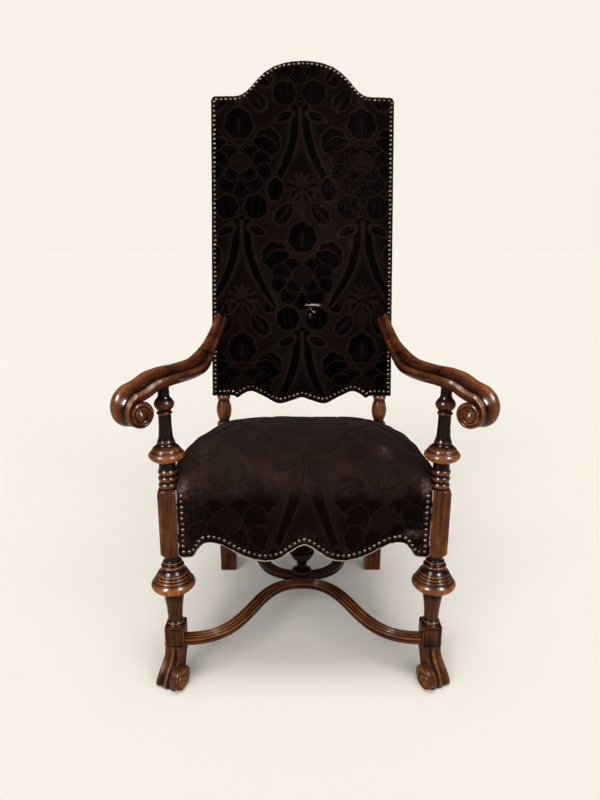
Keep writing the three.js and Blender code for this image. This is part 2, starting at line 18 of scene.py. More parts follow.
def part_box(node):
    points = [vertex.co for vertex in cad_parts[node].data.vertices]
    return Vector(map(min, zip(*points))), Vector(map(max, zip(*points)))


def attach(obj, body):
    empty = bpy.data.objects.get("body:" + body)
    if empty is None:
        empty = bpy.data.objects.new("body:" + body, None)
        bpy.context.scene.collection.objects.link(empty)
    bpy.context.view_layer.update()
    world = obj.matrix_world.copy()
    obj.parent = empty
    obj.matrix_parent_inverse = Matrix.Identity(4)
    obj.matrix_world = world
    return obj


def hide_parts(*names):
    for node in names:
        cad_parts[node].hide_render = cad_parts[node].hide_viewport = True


Array = np.ndarray

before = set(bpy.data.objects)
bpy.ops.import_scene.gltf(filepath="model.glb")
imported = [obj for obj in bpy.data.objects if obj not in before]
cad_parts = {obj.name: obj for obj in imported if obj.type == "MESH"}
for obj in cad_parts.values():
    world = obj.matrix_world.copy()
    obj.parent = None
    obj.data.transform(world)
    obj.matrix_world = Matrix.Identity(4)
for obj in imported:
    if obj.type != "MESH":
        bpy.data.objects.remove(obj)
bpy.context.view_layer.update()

MM = 0.001
UP = np.array([0.0, 0.0, 1.0])
STRETCHER_HALF_WIDTH = 13.0
LEG_AXIS_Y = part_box("stretcher_front")[0].y / MM + STRETCHER_HALF_WIDTH
log = logging.getLogger("throne")


class Side(Enum):
    """The two mirrored halves of the chair."""

    LEFT = -1
    RIGHT = 1

    @property
    def word(self) -> str:
        """The side's name as the nodes use it."""
        return self.name.lower()

    def axes(self, degrees: float) -> tuple:
        """Directions of something turned out from the front by some degrees.

        Args:
            degrees: The turn, from straight ahead towards this side.

        Returns:
            The outward direction, and the one across it towards the chair's middle.
        """
        turn = math.radians(degrees)
        outward = np.array([self.value * math.sin(turn), -math.cos(turn), 0.0])
        return outward, np.array([-self.value * math.cos(turn), -math.sin(turn), 0.0])


# Shader maths


class Wire:
    """A node socket that takes part in Python arithmetic."""

    def __init__(self, bench: "Bench", socket: bpy.types.NodeSocket) -> None:
        """Keeps the socket and the bench that adds its nodes."""
        self.bench = bench
        self.socket = socket

    def _math(self, operation: str, *values: Any) -> "Wire":
        """Adds a Math node on the values."""
        inputs = dict(enumerate(values))
        return self.bench.node("ShaderNodeMath", {"operation": operation}, inputs)

    def __add__(self, other: Any) -> "Wire":
        """Sum."""
        return self._math("ADD", self, other)

    __radd__ = __add__

    def __mul__(self, other: Any) -> "Wire":
        """Product."""
        return self._math("MULTIPLY", self, other)

    __rmul__ = __mul__

    def __sub__(self, other: Any) -> "Wire":
        """Difference."""
        return self._math("SUBTRACT", self, other)

    def __rsub__(self, other: Any) -> "Wire":
        """Difference from a number."""
        return self._math("SUBTRACT", other, self)

    def clamped(self) -> "Wire":
        """The value held between 0 and 1."""
        inputs = {"Value": self, "Min": 0.0, "Max": 1.0}
        return self.bench.node("ShaderNodeClamp", {}, inputs)

    def stepped(self, low: float, high: float) -> "Wire":
        """0 below low, 1 above high and smooth between."""
        inputs = {"Value": self, "From Min": low, "From Max": high}
        return self.bench.node("ShaderNodeMapRange", {"interpolation_type": "SMOOTHSTEP"}, inputs)


class Bench:
    """A material's node tree, with one method that adds any node."""

    def __init__(self, name: str) -> None:
        """Starts an empty material of that name.

        Args:
            name: The material's name.
        """
        self.material = bpy.data.materials.new(name)
        self.material.use_nodes = True
        self.tree = self.material.node_tree
        self.tree.nodes.clear()

    def node(self, kind: str, settings: dict, inputs: dict, output: Any = 0) -> Wire:
        """Adds a node.

        Args:
            kind: The node's type name.
            settings: Its properties, which are set before its inputs.
            inputs: Values or wires by socket name or number.
            output: Name or number of the socket that is returned.

        Returns:
            The chosen output.
        """
        node = self.tree.nodes.new(kind)
        for key, value in settings.items():
            setattr(node, key, value)
        for key, value in inputs.items():
            if isinstance(value, Wire):
                self.tree.links.new(value.socket, node.inputs[key])
            else:
                node.inputs[key].default_value = value
        return Wire(self, node.outputs[output])

    def place(self) -> Wire:
        """The point's place in the chair's own frame."""
        return self.node("ShaderNodeTexCoord", {}, {}, "Object")

    def attribute(self, name: str, output: str = "Fac") -> Wire:
        """A point attribute of the mesh."""
        return self.node("ShaderNodeAttribute", {"attribute_name": name}, {}, output)

    def scaled(self, vector: Wire, factors: Sequence[float]) -> Wire:
        """A vector times three factors."""
        return self.node("ShaderNodeVectorMath", {"operation": "MULTIPLY"}, {0: vector, 1: tuple(factors)})

    def noise(self, vector: Wire, scale: float, detail: float = 3.0, distortion: float = 0.0) -> Wire:
        """Soft noise between 0 and 1."""
        inputs = {"Vector": vector, "Scale": scale, "Detail": detail, "Distortion": distortion}
        return self.node("ShaderNodeTexNoise", {}, inputs)

    def blend(self, share: Any, first: Any, second: Any) -> Wire:
        """A mix of two colours."""
        inputs = {0: share, 6: rgba(first), 7: rgba(second)}
        return self.node("ShaderNodeMix", {"data_type": "RGBA"}, inputs, 2)

    def darkened(self, colour: Any, factor: Any) -> Wire:
        """A colour times a grey factor."""
        settings = {"data_type": "RGBA", "blend_type": "MULTIPLY"}
        return self.node("ShaderNodeMix", settings, {0: 1.0, 6: colour, 7: factor}, 2)

    def bumped(self, height: Wire, distance: float, strength: float = 1.0) -> Wire:
        """A normal tilted by a height field."""
        inputs = {"Height": height, "Distance": distance, "Strength": strength}
        return self.node("ShaderNodeBump", {}, inputs)

    def finish(self, inputs: dict) -> bpy.types.Material:
        """Closes the tree with a Principled shader of these inputs.

        Args:
            inputs: Values or wires by socket name.

        Returns:
            The finished material.
        """
        shader = self.node("ShaderNodeBsdfPrincipled", {}, inputs)
        output = self.tree.nodes.new("ShaderNodeOutputMaterial")
        self.tree.links.new(shader.socket, output.inputs["Surface"])
        return self.material


def rgba(colour: Any) -> Any:
    """A colour with its fourth number, or a wire as it is."""
    return colour if isinstance(colour, Wire) else (*colour, 1.0)


# Finishes


@dataclass(frozen=True)
class AgedWalnut:
    """Waxed walnut, near-black in the hollows and in the painted shade on the undersides of the arms and
    rails, and rubbed orange-brown on what stands proud.
    """

    name: str
    # Colour of the patina in the hollows, and of the painted shade on the undersides.
    patina_and_shade: tuple = (0.011, 0.0045, 0.0025)
    body: tuple = (0.078, 0.0225, 0.0072)
    rubbed: tuple = (0.335, 0.113, 0.031)
    wear: float = 0.0
    gloss: float = 0.27

    def material(self) -> bpy.types.Material:
        """Long grain and blotches on the piece's own grain attribute; wear, and the painted shade of the
        undersides, on the attribute that holds both.

        Returns:
            The finished material.
        """
        bench = Bench(self.name)
        grain = bench.attribute("grain", "Vector")
        streak = bench.noise(bench.scaled(grain, (9.0, 150.0, 150.0)), 1.0, 4.0, 0.6)
        pores = bench.noise(bench.scaled(grain, (60.0, 1400.0, 1400.0)), 1.0, 2.0)
        blotch = bench.noise(grain, 38.0, 4.0, 0.4)
        cloud = bench.noise(grain, 9.0, 2.0)
        worn = bench.attribute("worn")
        level = worn * 0.8 + (blotch - 0.5) * 1.3 + (cloud - 0.5) + self.wear
        colour = bench.blend(level.stepped(-0.52, 0.15), self.patina_and_shade, self.body)
        colour = bench.blend(level.stepped(0.1, 1.2) * 0.85, colour, self.rubbed)
        # Darker grain streaks and pores: the wood's own tone.
        shade = (streak.stepped(0.26, 0.72) * 0.66 + 0.46) * (pores * 0.5 + 0.75)
        colour = bench.darkened(colour, shade)
        rough = (streak - 0.5) * 0.16 + (0.5 - blotch) * 0.14 + self.gloss
        height = streak * 0.6 + pores * 0.4
        return bench.finish({
            "Base Color": colour, "Roughness": rough.clamped(), "Specular IOR Level": 0.07,
            "Coat Weight": 0.03, "Coat Roughness": 0.12, "Normal": bench.bumped(height, 0.0004, 0.35),
        })


@dataclass(frozen=True)
class FiguredVelvet:
    """Velvet whose pile stands dark in the figures, over a lighter rubbed ground; on the seat, painted sheen
    and painted top light lighten it further.
    """

    name: str
    pile: tuple = (0.0011, 0.0008, 0.001)
    ground: tuple = (0.0034, 0.0018, 0.0016)
    outline: tuple = (0.02, 0.0102, 0.008)
    # Colour of rubbed pile; on the seat it is also the colour of painted sheen and painted top light.
    rubbed: tuple = (0.2, 0.12, 0.1)
    sheen: float = 0.02

    def material(self) -> bpy.types.Material:
        """Colours follow the figure, outline, rubbed and fade attributes; on the seat the last two also carry
        painted sheen and painted top light. The pile is a fine bump.

        Returns:
            The finished material.
        """
        bench = Bench(self.name)
        place = bench.place()
        nap = bench.noise(place, 1100.0, 2.0)
        cloud = bench.noise(place, 14.0, 4.0, 0.8)
        fleck = bench.noise(place, 260.0, 3.0)
        figure = bench.attribute("figure")
        outline = bench.attribute("outline")
        rubbed = bench.attribute("rubbed")
        colour = bench.blend((figure + (fleck - 0.5) * 0.3).clamped(), self.ground, self.pile)
        colour = bench.blend((outline * (fleck * 0.9 + 0.4)).clamped() * 0.75, colour, self.outline)
        patch = bench.noise(place, 130.0, 6.0, 0.5)
        # Rubbed pile lightens the colour; on the seat this includes painted sheen.
        worn = (rubbed * (patch.stepped(0.36, 0.72) * 1.9 + 0.25)).clamped()
        colour = bench.blend(worn, colour, self.rubbed)
        # The fade attribute lightens the colour: on the seat it is painted top light.
        faded = bench.attribute("faded") * (1 - outline * 0.75) * (fleck * 0.5 + 0.75)
        colour = bench.blend(faded.clamped(), colour, self.rubbed)
        colour = bench.darkened(colour, cloud * 1.1 + nap * 0.3 + 0.35)
        height = nap * 0.25 + fleck * 0.15 + figure * 0.9 - outline * 0.9
        return bench.finish({
            "Base Color": colour, "Roughness": 0.92, "Specular IOR Level": 0.0,
            "Sheen Weight": self.sheen, "Sheen Roughness": 0.35, "Sheen Tint": (0.75, 0.6, 0.55, 1.0),
            "Normal": bench.bumped(height, 0.0016, 0.8),
        })


@dataclass(frozen=True)
class PlainCloth:
    """The turned cut edge of the cover and the plain cloth behind the back."""

    name: str
    colour: tuple = (0.27, 0.17, 0.135)

    def material(self) -> bpy.types.Material:
        """A fine crossed weave with soft dirt.

        Returns:
            The finished material.
        """
        bench = Bench(self.name)
        place = bench.place()
        thread = {"Vector": place, "Scale": 420.0, "Distortion": 2.0}
        warp, weft = (bench.node("ShaderNodeTexWave", {"bands_direction": axis}, thread) for axis in "XZ")
        dirt = bench.noise(place, 30.0, 4.0)
        colour = bench.darkened(rgba(self.colour), dirt * 0.8 + (warp + weft) * 0.2 + 0.3)
        return bench.finish({
            "Base Color": colour, "Roughness": 0.9, "Sheen Weight": 0.2,
            "Normal": bench.bumped(warp + weft, 0.0004, 0.4),
        })


@dataclass(frozen=True)
class AntiqueBrass:
    """Domed nail heads, some dull and some rubbed bright."""

    name: str = "antique_brass"
    dull: tuple = (0.016, 0.011, 0.0075)
    bright: tuple = (0.056, 0.039, 0.027)

    def material(self) -> bpy.types.Material:
        """Colour and gloss vary from nail to nail.

        Returns:
            The finished material.
        """
        bench = Bench(self.name)
        place = bench.place()
        each = bench.noise(place, 60.0, 2.0)
        colour = bench.blend(each.stepped(0.3, 0.7), self.dull, self.bright)
        return bench.finish({
            "Base Color": colour, "Metallic": 1.0, "Roughness": (0.6 - each * 0.25).clamped(),
        })


# Curves and skins


def smooth_line(points: Sequence[Sequence[float]], spacing: float, closed: bool = False) -> Array:
    """A smooth line through points at even spacing.

    Formula: a centripetal Catmull-Rom curve, where each knot step is the square root of the
    chord, sampled densely and then spaced evenly along its length.

    Args:
        points: The points that the line passes.
        spacing: Distance between the samples.
        closed: Whether the line returns to its start.

    Returns:
        The samples, one row each.
    """
    knots = np.asarray(points, float)
    if closed:
        knots = np.vstack([knots[-1:], knots, knots[:2]])
    else:
        knots = np.vstack([2 * knots[:1] - knots[1:2], knots, 2 * knots[-1:] - knots[-2:-1]])
    p0, p1, p2, p3 = knots[:-3, None], knots[1:-2, None], knots[2:-1, None], knots[3:, None]
    step = np.sqrt(np.linalg.norm(np.diff(knots, axis=0), axis=1))
    t1 = step[:-2, None, None]
    t2 = t1 + step[1:-1, None, None]
    t3 = t2 + step[2:, None, None]
    t = t1 + (t2 - t1) * np.linspace(0, 1, 40, endpoint=False)[None, :, None]
    a1 = (t1 - t) / t1 * p0 + t / t1 * p1
    a2 = (t2 - t) / (t2 - t1) * p1 + (t - t1) / (t2 - t1) * p2
    a3 = (t3 - t) / (t3 - t2) * p2 + (t - t2) / (t3 - t2) * p3
    b1 = (t2 - t) / t2 * a1 + t / t2 * a2
    b2 = (t3 - t) / (t3 - t1) * a2 + (t - t1) / (t3 - t1) * a3
    dense = ((t2 - t) / (t2 - t1) * b1 + (t - t1) / (t2 - t1) * b2).reshape(-1, knots.shape[1])
    dense = np.vstack([dense, knots[-2:-1]])
    return even_line(dense, spacing, closed)


def even_line(line: Array, spacing: float, closed: bool = False) -> Array:
    """A line's points set at even spacing along its length.

    Args:
        line: Points, one row each.
        spacing: Distance wanted between samples.
        closed: Whether the line returns to its start.

    Returns:
        The samples, one row each.
    """
    run = length_along(line)
    count = max(3, int(round(run[-1] / spacing)))
    at = np.linspace(0, run[-1], count, endpoint=not closed)
    return np.stack([np.interp(at, run, line[:, k]) for k in range(line.shape[1])], axis=1)


def cubic(knots: Sequence[Sequence[float]], count: int) -> Array:
    """Points of the cubic curve that leaves and arrives along its four knots.

    Formula: each knot weighs by its Bernstein polynomial of the share of the way.

    Args:
        knots: Start, its handle, the end's handle and the end.
        count: How many points.

    Returns:
        The points, one row each.
    """
    t = np.linspace(0, 1, count)[:, None]
    weights = np.hstack([(1 - t) ** 3, 3 * t * (1 - t) ** 2, 3 * t * t * (1 - t), t ** 3])
    return weights @ np.array(knots)


def softened(line: Array, reach: float, closed: bool = False) -> Array:
    """A line blurred by a bell curve whose width is reach, in samples.

    Args:
        line: Points, one row each.
        reach: Width of the bell curve.
        closed: Whether the line returns to its start.

    Returns:
        The blurred line.
    """
    half = max(1, int(3 * reach))
    weights = np.exp(-0.5 * (np.arange(-half, half + 1) / max(reach, 1e-6)) ** 2)
    weights /= weights.sum()
    beyond = {"mode": "wrap"} if closed else {"mode": "reflect", "reflect_type": "odd"}
    padded = np.pad(line, ((half, half), (0, 0)), **beyond)
    return np.stack([np.convolve(padded[:, k], weights, "valid") for k in range(line.shape[1])], axis=1)


def proudness(outline: Array, spacing: float, closed: bool) -> Array:
    """How far an outline stands out of its own blurred line, from about -1 to 1.

    Formula: the gap between the outline and its blurred copy, along the outline's normal,
    over a fixed depth, at three widths of blur.

    Args:
        outline: Points, one row each.
        spacing: Distance between them.
        closed: Whether the line returns to its start.

    Returns:
        One value for each point.
    """
    total = np.zeros(len(outline))
    for width, depth in ((1.8, 0.8), (5.0, 1.6), (13.0, 3.2)):
        blurred = softened(outline, width / spacing, closed)
        if closed:
            along = np.roll(blurred, -1, axis=0) - np.roll(blurred, 1, axis=0)
        else:
            along = np.gradient(blurred, axis=0)
        normal = np.stack([along[:, 1], -along[:, 0]], axis=1)
        normal /= np.linalg.norm(normal, axis=1, keepdims=True) + 1e-9
        total += ((outline - blurred) * normal).sum(1) / depth
    return np.clip(total * 0.62, -1, 1)


def lattice(rows: int, columns: int, wrapped: bool) -> Array:
    """Quads of a grid of points; a wrapped grid joins its last column to its first.

    Args:
        rows: Points down the grid.
        columns: Points across it.
        wrapped: Whether the last column joins the first.

    Returns:
        Four point numbers a quad.
    """
    i = np.arange(rows - 1)[:, None]
    j = np.arange(columns if wrapped else columns - 1)[None, :]
    k = (j + 1) % columns
    corners = [i * columns + j, i * columns + k, (i + 1) * columns + k, (i + 1) * columns + j]
    return np.stack([np.broadcast_to(c, (rows - 1, j.shape[1])) for c in corners], -1).reshape(-1, 4)


@dataclass
class Skin:
    """A closed skin: points in millimetres, faces, and named values on each point."""

    points: Array
    faces: list
    values: dict = field(default_factory=dict)

    @classmethod
    def from_rings(cls, rings: Array, values: dict) -> "Skin":
        """A tube of rings closed by a flat face at each end.

        Args:
            rings: Points, shaped (rings, points of a ring, 3).
            values: Arrays shaped as the rings, one value or a vector for each point.

        Returns:
            The closed skin, its faces outwards.
        """
        rows, columns = rings.shape[:2]
        faces = lattice(rows, columns, True).tolist()
        faces.append(list(range(columns))[::-1])
        faces.append(list(range((rows - 1) * columns, rows * columns)))
        flat = {k: v.reshape(rows * columns, -1).squeeze() for k, v in values.items()}
        return cls(rings.reshape(-1, 3), faces, flat).outwards()

    def outwards(self) -> "Skin":
        """The skin with its faces turned out, by the sign of its volume.

        Returns:
            The skin itself.
        """
        corners = [[f[0], f[i], f[i + 1]] for f in self.faces for i in range(1, len(f) - 1)]
        a, b, c = self.points[np.array(corners)].transpose(1, 0, 2)
        if np.einsum("ij,ij->", a, np.cross(b, c)) < 0:
            self.faces = [f[::-1] for f in self.faces]
        return self


@dataclass
class Piece:
    """A finished object built up from skins in the leg frame."""

    name: str
    skins: list = field(default_factory=list)

    def add(self, skin: Skin) -> None:
        """Puts one more skin into the piece."""
        self.skins.append(skin)

    def build(self, material: bpy.types.Material, slot: str, nodes: Iterable[str] = (),
              smooth_angle: float = 50.0) -> bpy.types.Object:
        """Makes the object, with its place in its mesh.

        Args:
            material: The finish.
            slot: The record's material slot; not used.
            nodes: The CAD nodes that it stands for.
            smooth_angle: Edges sharper than this many degrees stay crisp.

        Returns:
            The object, riding on the chair's one body.
        """
        mesh = bpy.data.meshes.new(self.name)
        starts = np.cumsum([0] + [len(s.points) for s in self.skins])
        points = np.vstack([s.points for s in self.skins]) + (0, LEG_AXIS_Y, 0)
        faces = [[int(v) + int(first) for v in f] for s, first in zip(self.skins, starts) for f in s.faces]
        mesh.from_pydata((points * MM).tolist(), [], faces)
        for key in sorted({k for s in self.skins for k in s.values}):
            self._write_values(mesh, key)
        mesh.polygons.foreach_set("use_smooth", np.ones(len(mesh.polygons), bool))
        mesh.set_sharp_from_angle(angle=math.radians(smooth_angle))
        mesh.materials.append(material)
        piece = bpy.data.objects.new(self.name, mesh)
        bpy.context.scene.collection.objects.link(piece)
        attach(piece, "root")
        if nodes:
            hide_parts(*nodes)
        log.info("%s: %d points, %d faces", self.name, len(mesh.vertices), len(mesh.polygons))
        return piece

    def _write_values(self, mesh: bpy.types.Mesh, key: str) -> None:
        """Stores one named value on every point, 0 where a skin has none.

        Args:
            mesh: The mesh that gets them.
            key: The value's name.
        """
        wide = max(s.values[key].ndim for s in self.skins if key in s.values) > 1
        tail = (3,) if wide else ()
        parts = [np.asarray(s.values.get(key, np.zeros((len(s.points), *tail))), float) for s in self.skins]
        kind, place = ("FLOAT_VECTOR", "vector") if wide else ("FLOAT", "value")
        attribute = mesh.attributes.new(key, kind, "POINT")
        attribute.data.foreach_set(place, np.concatenate(parts).astype(np.float32).ravel())


def grain_of(*parts: Array) -> Array:
    """A grain vector in metres from its three lengths in millimetres."""
    return np.stack(np.broadcast_arrays(*parts), axis=-1) * MM


def upright_grain(points: Array) -> Array:
    """The grain of wood that stands: its long way is the height."""
    return grain_of(points[..., 2], points[..., 0], points[..., 1])


def length_along(line: Array) -> Array:
    """How far each point of a line lies from its start."""
    return np.concatenate([[0.0], np.cumsum(np.linalg.norm(np.diff(line, axis=0), axis=1))])


def ramp(distance: Array, length: float) -> Array:
    """0 up to nought, 1 past the length and even between."""
    return np.clip(distance / length, 0, 1)


def bell(distance: Array, width: float) -> Array:
    """A bell curve: 1 at nought, and falling by Euler's number at the width."""
    return np.exp(-(distance / width) ** 2)


def unit(vectors: Array) -> Array:
    """Vectors with their length made 1."""
    return vectors / np.linalg.norm(vectors, axis=-1, keepdims=True)


@dataclass(frozen=True)
class Stations:
    """Places along a path: crest point, direction across, direction up, and sizes."""

    crest: Array
    across: Array
    up: Array
    width: Array
    thickness: Array
    relief: Array

    def carry(self, section: "Section") -> Skin:
        """The section carried along the path.

        Formula: crest + across times the section's share of the width + up times its share
        of the thickness, where relief flattens what lies above half the thickness.

        Args:
            section: The moulded section.

        Returns:
            The closed skin, with its grain and wear.
        """
        a, b = section.outline.T
        kept = ramp(-b - 0.45, 0.45)
        softer = b * (self.relief[:, None] + (1 - self.relief[:, None]) * kept)
        rings = (self.crest[:, None] + self.across[:, None] * (a * self.width[:, None])[..., None]
                 + self.up[:, None] * (softer * self.thickness[:, None])[..., None])
        run = length_along(self.crest)
        grain = grain_of(run[:, None], a * self.width[:, None], b * self.thickness[:, None])
        worn = np.broadcast_to(section.worn, rings.shape[:2]) * np.clip(self.relief, 0, 1)[:, None]
        return Skin.from_rings(rings, {"grain": grain, "worn": worn})


@dataclass
class Section:
    """A closed moulded section as shares of a width and a thickness."""

    knots: Sequence[tuple]
    width: float
    thickness: float
    spacing: float = 0.9
    wear: float = 0.8
    outline: Array = field(init=False)
    worn: Array = field(init=False)

    def __post_init__(self) -> None:
        """Works out the smooth outline, where it stands proud, and the painted shade on its lower part."""
        size = np.array([self.width, self.thickness])
        line = even_line(np.vstack([np.array(self.knots, float), self.knots[:1]]) * size, self.spacing, True)
        line = softened(line, 0.7 / self.spacing, True)
        self.outline = line / size
        # The lower part of the section is made near-black: painted shade under the arms and the rails.
        below = ramp(-self.outline[:, 1] - 0.56, 0.08)
        self.worn = -self.wear * proudness(line, self.spacing, True) - 0.75 * below


@dataclass(frozen=True)
class Move:
    """One cut of a turning, up to a height above the base: a straight or a swelling run."""

    radius: float
    height: float
    swell: float = 0.0


@dataclass(frozen=True)
class Turning:
    """A turned length on a vertical axis."""

    base: float
    start: float
    moves: tuple
    spacing: float = 0.7
    columns: int = 72

    def profile(self) -> Array:
        """Radius and height along the cuts; each swell is a half sine wave over its run.

        Returns:
            Rows of radius and height.
        """
        knots = [(self.start, 0.0)]
        for move in self.moves:
            radius, height = knots[-1]
            t = np.linspace(0, 1, 24)[1:]
            wave = move.swell * np.sin(np.pi * t)
            knots += list(zip(radius + (move.radius - radius) * t + wave,
                              height + (move.height - height) * t))
        line = even_line(np.array(knots), self.spacing)
        return softened(line, 0.55 / self.spacing)

    def skin(self, x: float, y: float) -> Skin:
        """The profile turned about the axis through (x, y).

        Args:
            x: Place of the axis across.
            y: Place of the axis in depth.

        Returns:
            The closed skin, with its grain and wear.
        """
        profile = self.profile()
        worn = proudness(profile, self.spacing, False)
        angle = np.linspace(0, 2 * np.pi, self.columns, endpoint=False)[None, :]
        radius, height = profile[:, :1], profile[:, 1:]
        rings = np.stack(np.broadcast_arrays(
            x + radius * np.cos(angle), y + radius * np.sin(angle), self.base + height), -1)
        worn = np.broadcast_to(worn[:, None], rings.shape[:2])
        return Skin.from_rings(rings, {"grain": upright_grain(rings), "worn": worn})


@dataclass(frozen=True)
class Block:
    """A square block, its ends turned down to the round where a limit says so."""

    half: float
    low: float
    high: float
    limit: Optional[Turning] = None
    columns_a_side: int = 30
    panel_inset: float = 0.0
    panel_depth: float = 1.5
    squareness: int = 16

    def skin(self, x: float, y: float) -> Skin:
        """The block's skin.

        Formula: rays spread evenly along the square meet a superellipse whose power is the
        squareness, which rounds the corners; the turning's radius at that height caps the
        length of the ray.

        Args:
            x: Place of the axis across.
            y: Place of the axis in depth.

        Returns:
            The closed skin, with its grain and wear.
        """
        side = np.linspace(-1, 1, self.columns_a_side, endpoint=False)
        one = np.ones_like(side)
        u = np.concatenate([side, one, -side, -one])
        v = np.concatenate([-one, side, one, -side])
        length = (np.abs(u) ** self.squareness + np.abs(v) ** self.squareness) ** (-1 / self.squareness)
        u, v = u * length * self.half, v * length * self.half
        z = np.linspace(self.low, self.high, max(8, int((self.high - self.low) / 1.2)))[:, None]
        reach = np.hypot(u, v)[None, :]
        edge = np.clip((reach - self.half) / (0.41 * self.half), 0, 1)
        factor = np.ones((len(z), len(u)))
        if self.limit:
            profile = self.limit.profile()
            factor = np.minimum(1, np.interp(z - self.limit.base, profile[:, 1], profile[:, 0]) / reach)
        ends = np.minimum(z - self.low, self.high - z)
        factor = factor - 0.03 * np.exp(-ends / 0.8)
        rings = np.stack(np.broadcast_arrays(x + u * factor, y + v * factor, z), -1)
        worn = np.broadcast_to(edge ** 3 * 0.6 + 0.2, rings.shape[:2]).copy()
        if self.panel_inset:
            sunk = self._panel(u, v, z)
            rings[..., 1] += np.where(v < -0.9 * self.half, 1, 0) * sunk * self.panel_depth
            outer = np.where(np.abs(u) > 0.9 * self.half, np.sign(u), 0)
            rings[..., 0] -= outer * sunk * self.panel_depth
            worn = worn - 1.1 * sunk - 0.3
        return Skin.from_rings(rings, {"grain": upright_grain(rings), "worn": worn})

    def _panel(self, u: Array, v: Array, z: Array) -> Array:
        """Depth share of the line sunk round a square panel, on the front and the sides.

        Args:
            u: Place across.
            v: Place in depth.
            z: Height.

        Returns:
            Shares from 0 to 1.
        """
        across = np.where(np.abs(v) > np.abs(u), np.abs(u), np.abs(v))[None, :]
        middle = (self.low + self.high) / 2
        reach = np.maximum(across / (self.half - self.panel_inset),
                           np.abs(z - middle) / ((self.high - self.low) / 2 - self.panel_inset))
        from_line = (reach - 1) * (self.half - self.panel_inset)
        return bell(from_line, 1.1)


# Wooden sub-assemblies

FRONT_LEG_X = 281.5
BLOCK_TOP = 137.0
ARM_KNOTS = (
    (-0.5, -0.62), (-0.497, -0.3), (-0.485, -0.16), (-0.465, -0.1), (-0.44, -0.085), (-0.425, -0.12),
    (-0.41, -0.085), (-0.37, -0.03), (-0.32, -0.004), (-0.26, 0.0), (-0.19, -0.02), (-0.12, -0.075),
    (-0.05, -0.16), (0.02, -0.26), (0.09, -0.35), (0.16, -0.425), (0.23, -0.475), (0.28, -0.49),
    (0.3, -0.435), (0.32, -0.42), (0.34, -0.44), (0.352, -0.5), (0.365, -0.455), (0.395, -0.41),
    (0.43, -0.42), (0.46, -0.48), (0.468, -0.56), (0.48, -0.54), (0.489, -0.58), (0.492, -0.68),
    (0.475, -0.84), (0.42, -0.98), (0.36, -1.0), (-0.38, -1.0), (-0.45, -0.95), (-0.49, -0.8),
)


